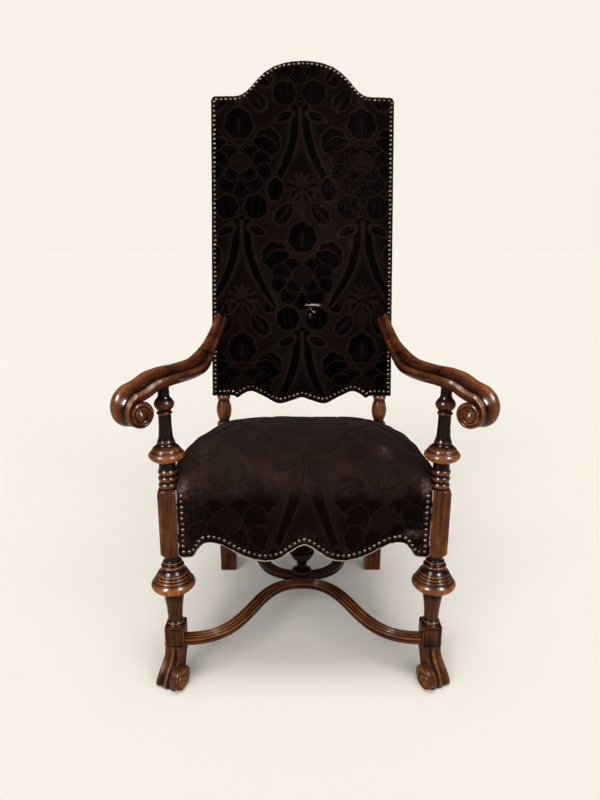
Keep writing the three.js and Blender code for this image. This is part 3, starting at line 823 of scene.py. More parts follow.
@dataclass
class ScrollFoot:
    """The outturned foot: a reeded strip over a roll with a rubbed eye."""

    side: Side
    turn: float = 26.0
    width: float = 42.0
    reach: float = 53.0
    height: float = 88.0
    roll_radius: float = 26.5
    roll_proud: float = 14.0
    block_half: float = 21.5
    spiral: tuple = ((-1, 1.04), (0, 1.0), (90, 0.86), (180, 0.72), (360, 0.56), (540, 0.4), (720, 0.3),
                     (2000, 0.3))

    def place(self, s: Array, t: Array, z: Array) -> Array:
        """Points s outward and t across from the leg axis, at height z.

        Args:
            s: Distance outward.
            t: Distance across.
            z: Height.

        Returns:
            The points.
        """
        outward, across = self.side.axes(self.turn)
        s, t, z = np.broadcast_arrays(s, t, z)
        point = s[..., None] * outward + t[..., None] * across
        point[..., 0] += self.side.value * FRONT_LEG_X
        point[..., 2] = z
        return point

    def strip(self) -> Skin:
        """The reeded strip.

        Formula: the front line is a cubic curve from the block to the toe; across it the
        face has a fillet, a wide flute, a round bead and a narrow flute.

        Returns:
            The closed skin, with its grain and wear.
        """
        knots = [[self.block_half - 2, self.height + 2], [self.block_half - 8.5, self.height * 0.62],
                 [self.reach - 12, self.height * 0.5], [self.reach, self.height * 0.16]]
        toe = [[self.reach, 10.0], [self.reach - 1, 6.0], [self.reach - 3, 3.0], [self.reach - 6, 1.0],
               [self.reach - 11, 0.0]]
        line = even_line(np.vstack([cubic(knots, 70), toe]), 1.3)
        share = np.linspace(0, 1, len(line))[:, None]
        a = np.linspace(-0.5, 0.5, 64)[None, :]
        deep = self.relief(a)
        full = np.clip((share - 0.02) * 6, 0, 1) * np.clip((1 - share) * 9, 0.3, 1)
        rear = np.interp(share, [0, 0.83, 1], [-self.block_half + 5, 8, 8])
        wide = self.width * np.interp(share, [0, 0.25, 0.7, 1], [0.97, 0.93, 1.03, 1.12])
        face = line[:, :1] - deep * full - 2.0 * (np.abs(a) * 2) ** 14
        front = self.place(face, a * wide, line[:, 1:])
        back = self.place(rear, a[:, ::-1] * wide, np.maximum(line[:, 1:], 0.0))
        rings = np.concatenate([front, back], axis=1)
        worn = np.concatenate([1.1 - deep * 0.52 + 0 * share, np.full(deep.shape, -0.4) + 0 * share], axis=1)
        worn = worn * np.interp(share, [0, 0.3, 1], [0.4, 0.8, 1.0])
        return Skin.from_rings(rings, {"grain": upright_grain(rings), "worn": worn})

    @staticmethod
    def relief(a: Array) -> Array:
        """Depth of the mouldings across the strip, in millimetres, outer edge first.

        Args:
            a: Share of the width, from -0.5 to 0.5.

        Returns:
            The depths.
        """
        knots = [-0.5, -0.45, -0.41, -0.3, -0.18, -0.06, -0.01, 0.05, 0.11, 0.16, 0.22, 0.29, 0.35, 0.4, 0.5]
        depths = [0.5, 0.0, 1.1, 2.3, 2.6, 2.0, 0.5, -0.5, 0.5, 3.4, 4.8, 4.2, 2.2, 1.4, 1.6]
        fine = np.linspace(-0.6, 0.6, 240)
        smooth = softened(np.column_stack([fine, np.interp(fine, knots, depths)]), 2.5)[:, 1]
        return np.interp(a, fine, smooth)

    def roll(self) -> Skin:
        """The roll behind the toe, its inner end carved with a rubbed spiral.

        Returns:
            The closed skin, with its grain and wear.
        """
        coil = Coil(self.spiral, groove=2.8, cone=5.0)
        middle = self.reach / 3 + 11
        half = self.width / 2
        rings, worn = coil.drum(self.roll_radius, half - 5, half + self.roll_proud, begin=120.0)
        inner = 1 - np.clip(np.hypot(rings[..., 0], rings[..., 1]) / self.roll_radius, 0, 1)
        rings = rings + inner[..., None] * (13.0, -10.0, 0.0)
        outward, across = self.side.axes(self.turn)
        centre = np.array([self.side.value * FRONT_LEG_X, 0.0, self.roll_radius]) + outward * middle
        points = centre + rings[..., :1] * outward + rings[..., 1:2] * UP + rings[..., 2:] * across
        points[..., 2] = np.maximum(points[..., 2], 0.0)
        return Skin.from_rings(points, {"grain": points * MM, "worn": worn + 0.05})


@dataclass(frozen=True)
class Coil:
    """A spiral carved on the end of a drum; radii are (degrees wound, share of the radius)."""

    radii: tuple
    groove: float
    cone: float
    columns: int = 144

    def contour(self, angle: Array) -> Array:
        """Share of the radius after winding by an angle in degrees."""
        degrees, shares = np.array(self.radii).T
        return np.interp(angle, degrees, shares)

    def drum(self, radius: Any, low: float, high: float, begin: float = 0.0) -> tuple:
        """Rings of a drum along its axis, ending in the carved face.

        Formula: on the face, each turn of the spiral is a round band between grooves, and
        the whole face rises to its middle as a shallow cone.

        Args:
            radius: Outer radius, one number or one for each column.
            low: Where the plain end lies.
            high: Where the rim of the carved end lies.
            begin: Degrees where the spiral starts.

        Returns:
            Rings as (outward, up, across) and their wear.
        """
        phi = np.linspace(0, 360, self.columns, endpoint=False)[None, :]
        outer = np.broadcast_to(np.asarray(radius, float), phi.shape)
        end, wall, carved = [0.1, 0.55, 0.9, 0.97], 12, 64
        shares = np.concatenate([end, np.ones(wall), np.linspace(0.985, 0.02, carved)])[:, None]
        depth = np.concatenate([np.full(2, low), [low + 0.6, low + 2.5],
                                np.linspace(low + 5, high - 1.5, wall), np.full(carved, high)])[:, None]
        wound = (begin - phi) % 360
        bounds = [self.contour(wound + 360 * k) for k in range(-1, 4)]
        height, crest = np.zeros((len(shares), self.columns)), np.zeros((len(shares), self.columns))
        for outside, inside in zip(bounds, bounds[1:]):
            t = np.clip((outside - shares) / np.maximum(outside - inside, 0.03), 0, 1)
            within = (shares <= outside) & (shares > inside)
            band = np.sin(np.pi * t) ** 0.6
            height = np.where(within, band * self.groove, height)
            crest = np.where(within, band, crest)
        boss = shares < bounds[-1]
        dome = 1.5 - 1.1 * (shares / np.maximum(bounds[-1], 0.05)) ** 2
        height = np.where(boss, self.groove * dome, height)
        crest = np.where(boss, 1.0, crest)
        face = np.arange(len(shares)) >= len(end) + wall
        rise = self.cone * (1 - shares) - self.groove * 0.8 + height
        across = np.where(face[:, None], depth + rise, depth)
        ring = np.radians(phi)
        rings = np.stack(np.broadcast_arrays(
            outer * shares * np.cos(ring), outer * shares * np.sin(ring), across), -1)
        worn = np.where(face[:, None], crest * 1.15 - 0.55, 0.0)
        return rings, worn


@dataclass
class FrontLeg:
    """A front leg from its scroll foot up to the arm."""

    side: Side
    x: float = FRONT_LEG_X

    def lower_turning(self) -> Turning:
        """Ring and cove over the block, the shaft, and the bell with its stepped cone.

        Returns:
            The turning, from its lower end up.
        """
        return Turning(BLOCK_TOP - 1.5, 20.5, (
            Move(19.0, 2.0), Move(15.6, 4.2, -0.8), Move(15.2, 5.0), Move(15.4, 11.6, 3.4), Move(14.8, 12.4),
            Move(15.6, 15.0, -0.6), Move(20.4, 66.0, -1.0), Move(22.2, 80.0), Move(37.6, 89.5, -1.6),
            Move(40.8, 112.0, 7.8), Move(39.4, 112.6), Move(39.2, 113.8), Move(37.4, 118.2, 0.8),
            Move(35.8, 118.8), Move(35.6, 120.0), Move(33.8, 124.4, 1.0), Move(32.2, 125.0),
            Move(32.0, 126.2), Move(29.4, 131.0, 1.6), Move(28.0, 131.6), Move(27.6, 132.8),
            Move(24.0, 141.4, -1.9), Move(23.0, 142.4), Move(22.4, 147.4, 2.0), Move(20.2, 148.4),
            Move(18.8, 151.8, -0.8),
            Move(18.0, 156.6, 2.1), Move(16.2, 157.6), Move(15.9, 160.0, -0.3), Move(15.9, 168.0),
            Move(17.5, 170.0),
        ))

    def upper_turning(self) -> Turning:
        """Three rings, the broad disc, the tapered column and the knob under the arm.

        Returns:
            The turning, from its lower end up.
        """
        rings = []
        for low in (6.0, 20.4, 34.8):
            rings += [Move(17.4, low), Move(17.4, low + 11.0, 2.4)]
        return Turning(453.0, 18.5, (
            *rings, Move(17.0, 49.0), Move(17.4, 62.0, -0.4), Move(30.0, 67.0, -0.8),
            Move(31.4, 85.5, 6.2), Move(30.4, 86.3), Move(29.8, 87.4), Move(25.2, 94.0, 0.9),
            Move(24.0, 95.0), Move(18.2, 105.0, -2.2), Move(14.0, 120.0, -0.9), Move(12.9, 140.0),
            Move(13.0, 162.0),
            Move(14.6, 163.2), Move(14.6, 167.6, 1.3), Move(13.0, 168.8), Move(13.4, 171.0),
            Move(13.2, 196.5, 6.9), Move(11.4, 205.0, -0.7), Move(11.6, 236.0),
        ))

    def seat_block(self) -> Block:
        """The square seat block with turned shoulders.

        Returns:
            The block.
        """
        corner = 30.0
        limit = Turning(303.0, 16.5, (Move(26.0, 9.0, 1.6), Move(corner, 13.5, 0.6), Move(corner, 141.0),
                                      Move(26.0, 146.5, 0.6), Move(18.5, 154.0, 1.6)))
        return Block(20.5, 303.4, 456.8, limit)

    def build(self, wood: bpy.types.Material) -> None:
        """Makes the leg in place of its solid.

        Args:
            wood: Finish of the wood.
        """
        piece = Piece(f"carved_front_leg_{self.side.word}")
        x = self.side.value * self.x
        foot = ScrollFoot(self.side)
        piece.add(foot.strip())
        piece.add(foot.roll())
        piece.add(Block(21.5, 86.0, BLOCK_TOP, panel_inset=5.5).skin(x, 0))
        piece.add(self.lower_turning().skin(x, 0))
        piece.add(self.seat_block().skin(x, 0))
        upper = self.upper_turning().skin(x, 0)
        height = upper.points[:, 2]
        # The column is made darker from about 556 mm up.
        upper.values["worn"] = upper.values["worn"] - 0.6 * ramp(height - 556, 12.0)
        piece.add(upper)
        piece.build(wood, "walnut", [f"front_leg_{self.side.word}"])


@dataclass
class RearLeg:
    """A rear leg: a splayed square below the seat and a turned baluster above it."""

    side: Side
    x: float = 215.25
    depth: float = 451.6
    splay: float = 20.0
    half: float = 22.5
    top: float = 444.0

    def baluster(self) -> Turning:
        """The short baluster between the seat and the back.

        Returns:
            The turning, from its lower end up.
        """
        return Turning(self.top - 1, 19.5, (
            Move(18.0, 5.0), Move(17.0, 6.0), Move(17.0, 21.0, 3.0), Move(14.4, 23.0), Move(15.0, 29.5, -0.4),
            Move(15.2, 82.0, 5.5), Move(16.4, 88.0), Move(16.6, 97.0, 1.6), Move(16.4, 106.0),
        ))

    def build(self, wood: bpy.types.Material) -> None:
        """Makes the leg in place of its solid; its axis leans back towards the floor.

        Args:
            wood: Finish of the wood.
        """
        piece = Piece(f"shaped_rear_leg_{self.side.word}")
        x = self.side.value * self.x
        square = Block(self.half, 0.0, self.top, columns_a_side=12).skin(x, self.depth)
        share = 1 - square.points[:, 2] / self.top
        deeper = square.points[:, 1] - self.depth
        square.points[:, 1] += self.splay * share - deeper * share * 2.0 / self.half
        # The square part below the seat is made darker.
        square.values["worn"] = square.values["worn"] - 0.3
        piece.add(square)
        turned = self.baluster().skin(x, self.depth)
        back_face = 431.6 + (turned.points[:, 2] - 542.5) * math.tan(math.radians(10.06))
        turned.points[:, 2] = np.where(turned.points[:, 1] > back_face + 2,
                                       np.minimum(turned.points[:, 2], 546.0), turned.points[:, 2])
        turned.values["worn"] = turned.values["worn"] + 0.6
        piece.add(turned)
        piece.build(wood, "walnut", [f"rear_leg_{self.side.word}"])


@dataclass
class Arm:
    """A scroll arm: ridge, flute and bead, from the back to its volute."""

    side: Side
    height: float = 709.0
    width: float = 52.0
    thickness: float = 34.0
    back_width: float = 30.0
    back_thickness: float = 26.0
    back_rise: float = 62.0
    back_spread: float = 424.0
    run: float = 472.12
    flare: float = 43.0
    reach: float = 67.5
    drop: float = 77.0
    radius: float = 27.0
    eye_shift: tuple = (3.0, -3.0, 0.0)
    spiral: tuple = ((-1, 1.05), (0, 1.0), (90, 0.93), (180, 0.78), (270, 0.72), (360, 0.63), (450, 0.53),
                     (540, 0.46), (2000, 0.46))

    def centre(self) -> Array:
        """Middle of the volute."""
        outward, _ = self.side.axes(self.flare)
        return np.array([self.side.value * FRONT_LEG_X, 0.0, self.height - self.drop]) + outward * self.reach

    def crest(self) -> Array:
        """Crest line from inside the back to the top of the volute, then round it.

        Returns:
            The line's points.
        """
        outward, _ = self.side.axes(self.flare)
        support = np.array([self.side.value * FRONT_LEG_X, 0.0, 0.0])
        back_x = self.back_spread / 2
        lean = FRONT_LEG_X - back_x
        shares = [(1.06, -0.03, 1.3), (0.996, 0.08, 0.9), (0.847, 0.345, 0.02), (0.636, 0.39, -0.19),
                  (0.407, 0.45, -0.24), (0.2, 0.72, -0.16), (0.0, 1.0, 0.0)]
        knots = [(self.side.value * (back_x + out * lean), share * self.run,
                  self.height + rise * self.back_rise) for share, out, rise in shares]
        knots.append(tuple(support + outward * 0.48 * self.reach + (0, 0, self.height - 5)))
        degrees = np.linspace(97, -178, 12)
        radii = np.interp(degrees, [-178, -90, 0, 97], [24.0, 27.6, 38.0, 60.0])
        angles = np.radians(degrees)[:, None]
        winding = self.centre() + radii[:, None] * (outward * np.cos(angles) + UP * np.sin(angles))
        return smooth_line(np.vstack([knots, winding]), 2.6)

    def stations(self) -> Stations:
        """Path, section directions and sizes; the ribbon thins as it winds under the volute.

        Returns:
            The stations.
        """
        _, face = self.side.axes(self.flare)
        crest = self.crest()
        along = unit(np.gradient(crest, axis=0))
        run = length_along(crest)
        centre = self.centre()
        top = run[np.argmin(np.linalg.norm(crest - (centre + (0, 0, 60)), axis=1))]
        flat = unit(np.stack([along[:, 1], -along[:, 0], np.zeros(len(run))], 1) * self.side.value)
        turned = ramp(run - top + 60, 60)[:, None]
        across = unit(flat * (1 - turned) + face * turned)
        up = np.cross(across, along) * self.side.value
        full = ramp(run / top - 0.1, 0.6)
        full = full * full * (3 - 2 * full)
        ending = np.clip((run - top) / (run[-1] - top), 0, 1)
        width = self.back_width + (self.width - self.back_width) * full
        thickness = self.back_thickness + (self.thickness - self.back_thickness) * full
        from_centre = np.linalg.norm(crest - centre, axis=1)
        winding = np.clip(ending * 12, 0, 1)
        thickness = thickness * (1 - winding) + np.maximum(from_centre - 25.5, 3.0) * winding
        relief = (0.62 + 0.38 * full) * (1 + 1.3 * ending) * np.clip((1 - ending) * 4, 0, 1)
        return Stations(crest, across, up, width * (1 - 0.06 * ending ** 4), thickness, relief)

    def volute(self) -> Skin:
        """The drum of the volute, with the spiral on its inner face.

        Returns:
            The closed skin, with its grain and wear.
        """
        coil = Coil(self.spiral, groove=3.2, cone=7.0)
        rings, worn = coil.drum(self.radius, -0.5 * self.width + 3, 0.5 * self.width - 1.5, begin=100.0)
        outward, across = self.side.axes(self.flare)
        phi = np.degrees(np.arctan2(rings[0, :, 1], rings[0, :, 0]))
        swell = np.interp(phi, [-180, -90, 0, 90, 180], [1.02, 0.99, 0.95, 0.93, 1.02])[None, :, None]
        inner = 1 - np.clip(np.hypot(rings[..., 0], rings[..., 1]) / self.radius, 0, 1)
        rings = rings + inner[..., None] * self.eye_shift
        points = (self.centre() + rings[..., :1] * swell * outward + rings[..., 1:2] * swell * UP
                  + rings[..., 2:] * across)
        return Skin.from_rings(points, {"grain": points * MM, "worn": worn})

    def build(self, wood: bpy.types.Material) -> None:
        """Makes the arm in place of its solid.

        Args:
            wood: Finish of the wood.
        """
        piece = Piece(f"carved_arm_{self.side.word}")
        piece.add(self.stations().carry(Section(ARM_KNOTS, self.width, self.thickness)))
        piece.add(self.volute())
        piece.build(wood, "arm_walnut", [f"arm_{self.side.word}"])


@dataclass
class Stretchers:
    """Front and rear serpentine stretchers and the urn on their crossing."""

    width: float = 29.0
    thickness: float = 20.5
    top: float = 109.0
    set_back: float = 222.5
    boss_radius: float = 25.0

    @property
    def boss_y(self) -> float:
        """Middle of the crossing."""
        return self.set_back + self.width / 2 + 0.94 * self.boss_radius

    def section(self) -> Section:
        """Three reeds on top, the middle one broad, and two fillets down the sides.

        Returns:
            The section.
        """
        half = [(0.0, 0.0), (0.06, -0.02), (0.1, -0.08), (0.13, -0.25), (0.155, -0.29), (0.185, -0.22),
                (0.21, -0.11), (0.26, -0.05), (0.305, -0.1), (0.335, -0.22), (0.355, -0.34), (0.38, -0.35),
                (0.405, -0.25), (0.44, -0.2), (0.475, -0.25), (0.495, -0.4), (0.465, -0.5), (0.455, -0.58),
                (0.49, -0.66), (0.485, -0.88), (0.44, -1.0)]
        mirrored = [(-a, b) for a, b in half[::-1]]
        return Section(half + mirrored, self.width, self.thickness, 0.65, 1.5)

    def rail(self, end: float, end_y: float, middle_y: float, at_leg: float, at_middle: float) -> Stations:
        """One rail's stations; half of it is a cubic curve that leaves the leg square.

        Args:
            end: Half the rail's span.
            end_y: Depth of its ends.
            middle_y: Depth of its middle.
            at_leg: Length of the handle at the leg, as a share.
            at_middle: Length of the handle at the middle, as a share.

        Returns:
            The stations.
        """
        knots = [[end, end_y], [end * (1 - at_leg), end_y], [end * at_middle, middle_y], [0, middle_y]]
        half = even_line(cubic(knots, 90), 2.8)
        line = np.vstack([half, half[-2::-1] * (-1, 1)])
        along = np.gradient(line, axis=0)
        along[[0, -1]] = (-1, 0)
        along = unit(along)
        count = len(line)
        crest = np.column_stack([line, np.full(count, self.top)])
        across = np.column_stack([-along[:, 1], along[:, 0], np.zeros(count)])
        up = np.tile(UP, (count, 1))
        return Stations(crest, across, up, np.full(count, self.width), np.full(count, self.thickness),
                        np.ones(count))

    def urn(self) -> Turning:
        """Foot, knop, bowl and cap of the finial.

        Returns:
            The turning, from its lower end up.
        """
        return Turning(self.top, 24.5, (
            Move(24.5, 1.0), Move(23.5, 8.5, 1.6), Move(20.0, 9.6), Move(12.0, 24.0, -3.4), Move(12.0, 25.0),
            Move(12.2, 30.5, 2.2), Move(13.6, 33.0), Move(29.0, 51.0, 2.4), Move(27.6, 52.0),
            Move(28.6, 61.0, 4.2), Move(25.0, 62.0), Move(10.0, 76.0, 4.0), Move(4.4, 77.4),
            Move(4.6, 80.5, 1.2), Move(1.0, 84.0, 1.2),
        ))

    def build(self, wood: bpy.types.Material, dark: bpy.types.Material) -> None:
        """Makes both rails and the urn in place of their solids.

        Args:
            wood: Finish of the wood.
            dark: Finish of the darker wood, which is partly painted shade under the seat.
        """
        section = self.section()
        front = Piece("moulded_stretcher_front")
        rail = self.rail(260.0, 0.0, self.set_back, 0.62, 0.54).carry(section)
        # The front rail is made darker overall, and most at its middle.
        rail.values["worn"] = rail.values["worn"] - 0.6 - 0.6 * bell(rail.points[:, 0], 110.0)
        front.add(rail)
        front.build(wood, "walnut", ["stretcher_front"])
        rear = Piece("moulded_stretcher_rear")
        rear.add(self.rail(192.75, 467.14, self.boss_y, 0.62, 0.85).carry(section))
        boss = (Move(24.0, 1.0), Move(25.0, 2.5), Move(25.0, 15.5), Move(24.0, 17.4))
        rear.add(Turning(self.top - self.thickness, 23.0, boss).skin(0, self.boss_y))
        rear.build(dark, "dark_walnut", ["stretcher_rear"])
        urn = Piece("turned_finial")
        urn.add(self.urn().skin(0, self.boss_y))
        urn.build(dark, "dark_walnut", ["stretcher_finial"])


# Velvet

FAR = 9.0


def only(where: Array, distance: Array) -> Array:
    """A distance where it counts, and too far to draw elsewhere."""
    return np.where(where, distance, FAR)


@dataclass
class Drawing:
    """The woven figure on a cloth: how much pile stands, and how strong an outline is."""

    figure: Array
    outline: Array

    @classmethod
    def blank(cls, shape: tuple) -> "Drawing":
        """A cloth with no figure."""
        return cls(np.zeros(shape), np.zeros(shape))

    def values(self, beyond: int, **others: Array) -> dict:
        """The figure, its outline and other marks as values of a skin.

        Args:
            beyond: Number of plain points that follow the cloth's own.
            others: More marks, shaped as the figure.

        Returns:
            One flat array for each name.
        """
        marks = {"figure": self.figure, "outline": self.outline, **others}
        return {key: np.append(mark.ravel(), np.zeros(beyond)) for key, mark in marks.items()}

    def lay(self, distance: Array, fill: Any = 1.0, rim: float = 1.0, light: float = 0.0) -> None:
        """Lays a shape over what is drawn.

        Args:
            distance: Millimetres outside the shape's edge, negative inside it.
            fill: Pile inside the shape.
            rim: Strength of its outline.
            light: Paleness inside the shape.
        """
        inside = np.clip(0.5 - distance / 1.5, 0, 1)
        self.figure = self.figure * (1 - inside) + inside * fill
        self.outline = self.outline * (1 - inside) + light * inside + rim * bell(distance, 1.35)
        self.outline = np.clip(self.outline, 0, 1)

    def score(self, distance: Array, strength: float = 1.0, width: float = 1.3) -> None:
        """Draws a light line where the distance is near nought.

        Args:
            distance: Millimetres from the line.
            strength: How light the line is.
            width: Half its width.
        """
        line = strength * bell(distance, width)
        self.figure = self.figure * (1 - line)
        self.outline = np.maximum(self.outline, line)


@dataclass
class Repeat(Drawing):
    """One repeat of the damask, drawn on the points near it.

    x counts from the column's middle and y down the cloth from the arch's tip.
    """

    x: Array
    y: Array

    def petal(self, at: tuple, size: tuple, turn: float, point: float = 0.0,
              lobes: float = 0.0) -> tuple:
        """Distance to a petal, and its own axes.

        Formula: an ellipse narrowed towards its tip by the point share; lobes scallop its edge.

        Args:
            at: The petal's middle.
            size: Its half width and half length.
            turn: Its turn in degrees.
            point: How much its tip narrows.
            lobes: Half the number of lobes, or 0 for none.

        Returns:
            Distance outside it, then its axes.
        """
        angle = math.radians(turn)
        x, y = self.x - at[0], self.y - at[1]
        p = x * math.cos(angle) + y * math.sin(angle)
        q = -x * math.sin(angle) + y * math.cos(angle)
        narrow = 1 + point * q / size[1]
        reach = np.hypot(p / (size[0] * np.clip(narrow, 0.15, 2)), q / size[1])
        edge = 1 - 0.11 * (1 - np.abs(np.sin(lobes * np.arctan2(p, q)))) if lobes else 1.0
        return (reach - edge) * min(size), p, q

    def bands(self) -> None:
        """The broad bands that part at the tip and spread, and the pointed arch between."""
        x, y = self.x, self.y
        path_y = [-95, -50, -20, 17, 57, 90, 135]
        centre = np.interp(y, path_y, [14, 14.5, 18, 27, 43, 62, 90])
        half = np.interp(y, path_y, [8, 9, 10, 10, 10, 9, 4])
        on = (y > -95) & (y < 135)
        side = only(on, np.abs(x - centre) * 0.84 - half)
        self.lay(only(on, side - 7), 0.0, 0.0, 0.36)
        self.score(only((y > -60) & (y < 120), (x - centre - half * 1.2 - 12) * 0.84), 0.45, 1.1)
        self.lay(side)
        self.score(only((y > -92) & (y < -10), x), 0.6, 1.6)
        arch = np.interp(y, [0, 12, 37, 82, 120], [0, 6, 19, 43, 66])
        within = only((y > 0) & (y < 130), x - arch)
        self.lay(only(within < 0, within + 2), 0.3 * ramp(124 - y, 60.0), 0.0)
        self.score(only((y > 0) & (y < 122), (x - arch) * 0.88), 0.95)
        self.score(only((y > 14) & (y < 112), (x - arch + 7) * 0.88), 0.6, 1.1)

    def fleuron(self) -> None:
        """The small pale crowned flower inside the arch."""
        x, y = self.x, self.y
        self.lay(np.hypot(x * 0.9, (y - 113) * 0.95) - 33, 0.8, 0.0)
        for at, size, turn in (((0, 84), (5, 9), 0), ((13, 88), (5, 10), 35), ((27, 99), (5, 10), 66),
                               ((10, 106), (5, 8), 30), ((0, 104), (4, 7), 0), ((34, 118), (5, 10), 115),
                               ((20, 119), (4, 8), 120), ((13, 132), (4.5, 10), 150), ((0, 128), (4, 11), 0),
                               ((33, 136), (4, 9), 160), ((22, 146), (3.5, 8), 150)):
            distance, p, _ = self.petal(at, size, turn)
            self.lay(distance, 0.0, 0.5, 0.4)
            self.score(only(distance < -1, p), 0.35, 0.8)
        stem = x - np.interp(y, [138, 160, 200], [6, 15, 4])
        self.lay(only((y > 138) & (y < 200), stem), 0.0, 0.2, 0.3)

    def leaves(self) -> None:
        """Veined leaves under the flower, and a bud leaf on its stalk beside the bands."""
        x, y = self.x, self.y
        distance, p, q = self.petal((47, 181), (20, 35), -39, 0.3, 5.5)
        self.lay(distance - 4, 0.0, 0.0, 0.34)
        self.lay(distance)
        self.score(only(np.abs(q) < 28, p), 0.9)
        self.score(only(distance < -3, (np.abs(p) - (q % 10) * 0.9) * 0.7), 0.6, 0.9)
        distance, p, _ = self.petal((43, -66), (12, 25), -66, -0.25, 2.5)
        self.lay(distance - 5, 0.0, 0.0, 0.34)
        self.lay(distance)
        self.score(only(distance < -3, p - 2), 0.6, 0.9)
        stalk = -50 + 0.012 * (x - 64) ** 2
        self.score(only((x > 62) & (x < 100), (y - stalk) * 0.9), 0.7, 1.6)
        self.score(only((x > 62) & (x < 92), (y - stalk + 9) * 0.9), 0.4, 1.2)

    def blossom(self) -> None:
        """Three great petals: one upright on the middle line and one to each side."""
        x, y = self.x, self.y
        distance, _, _ = self.petal((73, 291), (37, 38), 14, 0.1, 3.5)
        self.lay(distance - 6, 0.0, 0.0, 0.3)
        self.lay(distance, 1.0, 0.9)
        arc = y - np.interp(x, [0, 20, 45, 66, 85, 104], [303, 290, 279, 275, 283, 308])
        self.score(only((x < 103) & (y < 312), arc * 0.9), 0.95, 1.7)
        self.score(only(distance < -6, (arc + 9) * 0.9), 0.3, 1.0)
        distance, _, _ = self.petal((0, 243), (39, 42), 0, 0.12, 3.5)
        self.lay(distance - 6, 0.0, 0.0, 0.3)
        self.lay(distance, 1.0, 0.9)
        self.score(only((y > 229) & (y < 272), x), 0.95, 1.7)
        for spread in (0.6, 1.3):
            ray = x - (y - 232) * 0.26 * spread - 5 * spread
            self.score(only((distance < -6) & (y > 236), ray), 0.25, 1.0)

    def peony(self) -> None:
        """The peony: scalloped petals about a seeded heart, over four broad sepals."""
        x, y = self.x, self.y
        for at, size, turn in (((91, 413), (22, 32), 8), ((39, 458), (33, 33), 10)):
            distance, p, _ = self.petal(at, size, turn, 0.0, 3.5)
            self.lay(distance - 4, 0.0, 0.0, 0.25)
            self.lay(distance, 1.0, 0.9)
            self.score(only(distance < -6, np.abs(p) - 9), 0.25)
        for at, size, turn in (((27, 318), (26, 20), -20), ((56, 336), (25, 24), 0),
                               ((61, 368), (22, 24), 30), ((0, 412), (26, 24), 0),
                               ((36, 396), (25, 24), 24), ((23, 372), (21, 19), 20)):
            distance, p, q = self.petal(at, size, turn, 0.0, 3.5)
            self.lay(distance, 1.0, 0.9)
            self.score(only(distance < -4, np.hypot(p, q) - min(size) * 0.62), 0.3, 0.9)
        self.lay(np.hypot(x, (y - 343) * 1.05) - 27, 0.85, 0.85)
        row = (y - 315) // 10
        seeds = np.hypot((x + 5 + 5 * (row % 2)) % 10 - 5, ((y - 315) % 10 - 5) * 1.1) - 3.6
        self.lay(only(np.hypot(x, y - 343) < 24, seeds), 1.0, 0.8)
        distance, _, _ = self.petal((0, 489), (9, 10), 0)
        self.lay(distance, 1.0, 0.9)


@dataclass(frozen=True)
class Damask:
    """A traditional half-drop floral figure in pointed arches, in millimetres.

    Down counts along the cloth from the tip of an arch, and the figure is mirrored about the
    middle of each column.
    """

    width: float = 323.0
    drop: float = 586.0

    def draw(self, across: Array, down: Array) -> Drawing:
        """The figure at every point of a cloth.

        Args:
            across: Distance from a column's middle.
            down: Distance down the cloth from an arch's tip.

        Returns:
            The drawing, shaped as the points.
        """
        drawing = Drawing.blank(np.broadcast(across, down).shape)
        for column in (-2, 0, 2, -3, -1, 1, 3):
            for row in range(-4, 5):
                x = across - column * self.width / 2
                y = down - (row + 0.5 * (column % 2)) * self.drop
                near = (np.abs(x) < 0.5 * self.width) & (y > -110) & (y < self.drop + 40)
                if near.any():
                    self._column(drawing, np.abs(x), y, near)
        return drawing

    def _column(self, drawing: Drawing, x: Array, y: Array, near: Array) -> None:
        """One repeat of the figure, on the points near it.

        Args:
            drawing: The woven figure.
            x: Distance from the column's middle.
            y: Distance down from the tip.
            near: Which points lie near.
        """
        part = Repeat(drawing.figure[near], drawing.outline[near], x[near], y[near])
        for layer in (part.bands, part.fleuron, part.leaves, part.blossom, part.peony):
            layer()
        drawing.figure[near], drawing.outline[near] = part.figure, part.outline


@dataclass
class Nails:
    """Rows of domed brass nails."""

    name: str
    places: list = field(default_factory=list)

    def row(self, line: Array, facing: Sequence[float], pitch: float, radius: float) -> None:
        """Sets nails along a line at an even pitch, all facing one way."""
        at = even_line(line, pitch)
        self.places.append((at, np.tile(facing, (len(at), 1)), radius))

    def build(self, brass: bpy.types.Material) -> None:
        """Makes all the nails as one piece; a head is four rings of ten points.

        Args:
            brass: Finish of the nails.
        """
        piece = Piece(self.name)
        rng = np.random.default_rng(11)
        columns = np.linspace(0, 2 * np.pi, 10, endpoint=False)
        tilts = np.radians([90, 62, 34, 10])
        for at, normal, radius in self.places:
            tipped = unit(normal + rng.normal(0, 0.07, normal.shape))
            aside = unit(np.cross(tipped, (0.3, 0.2, 0.93)))
            third = np.cross(tipped, aside)
            moved = at + aside * rng.normal(0, 0.5, (len(at), 1))
            size = radius * rng.uniform(0.93, 1.06, len(at))
            for centre, n, a, b, r in zip(moved, tipped, aside, third, size):
                flat = np.cos(columns)[:, None] * a + np.sin(columns)[:, None] * b
                dome = r * (np.sin(tilts)[:, None, None] * flat + 0.62 * np.cos(tilts)[:, None, None] * n)
                base = centre + 0.98 * r * flat[None] - 1.2 * n
                rings = np.concatenate([base, centre + dome])
                piece.add(Skin.from_rings(rings, {}))
        piece.build(brass, "nail_brass", smooth_angle=70)


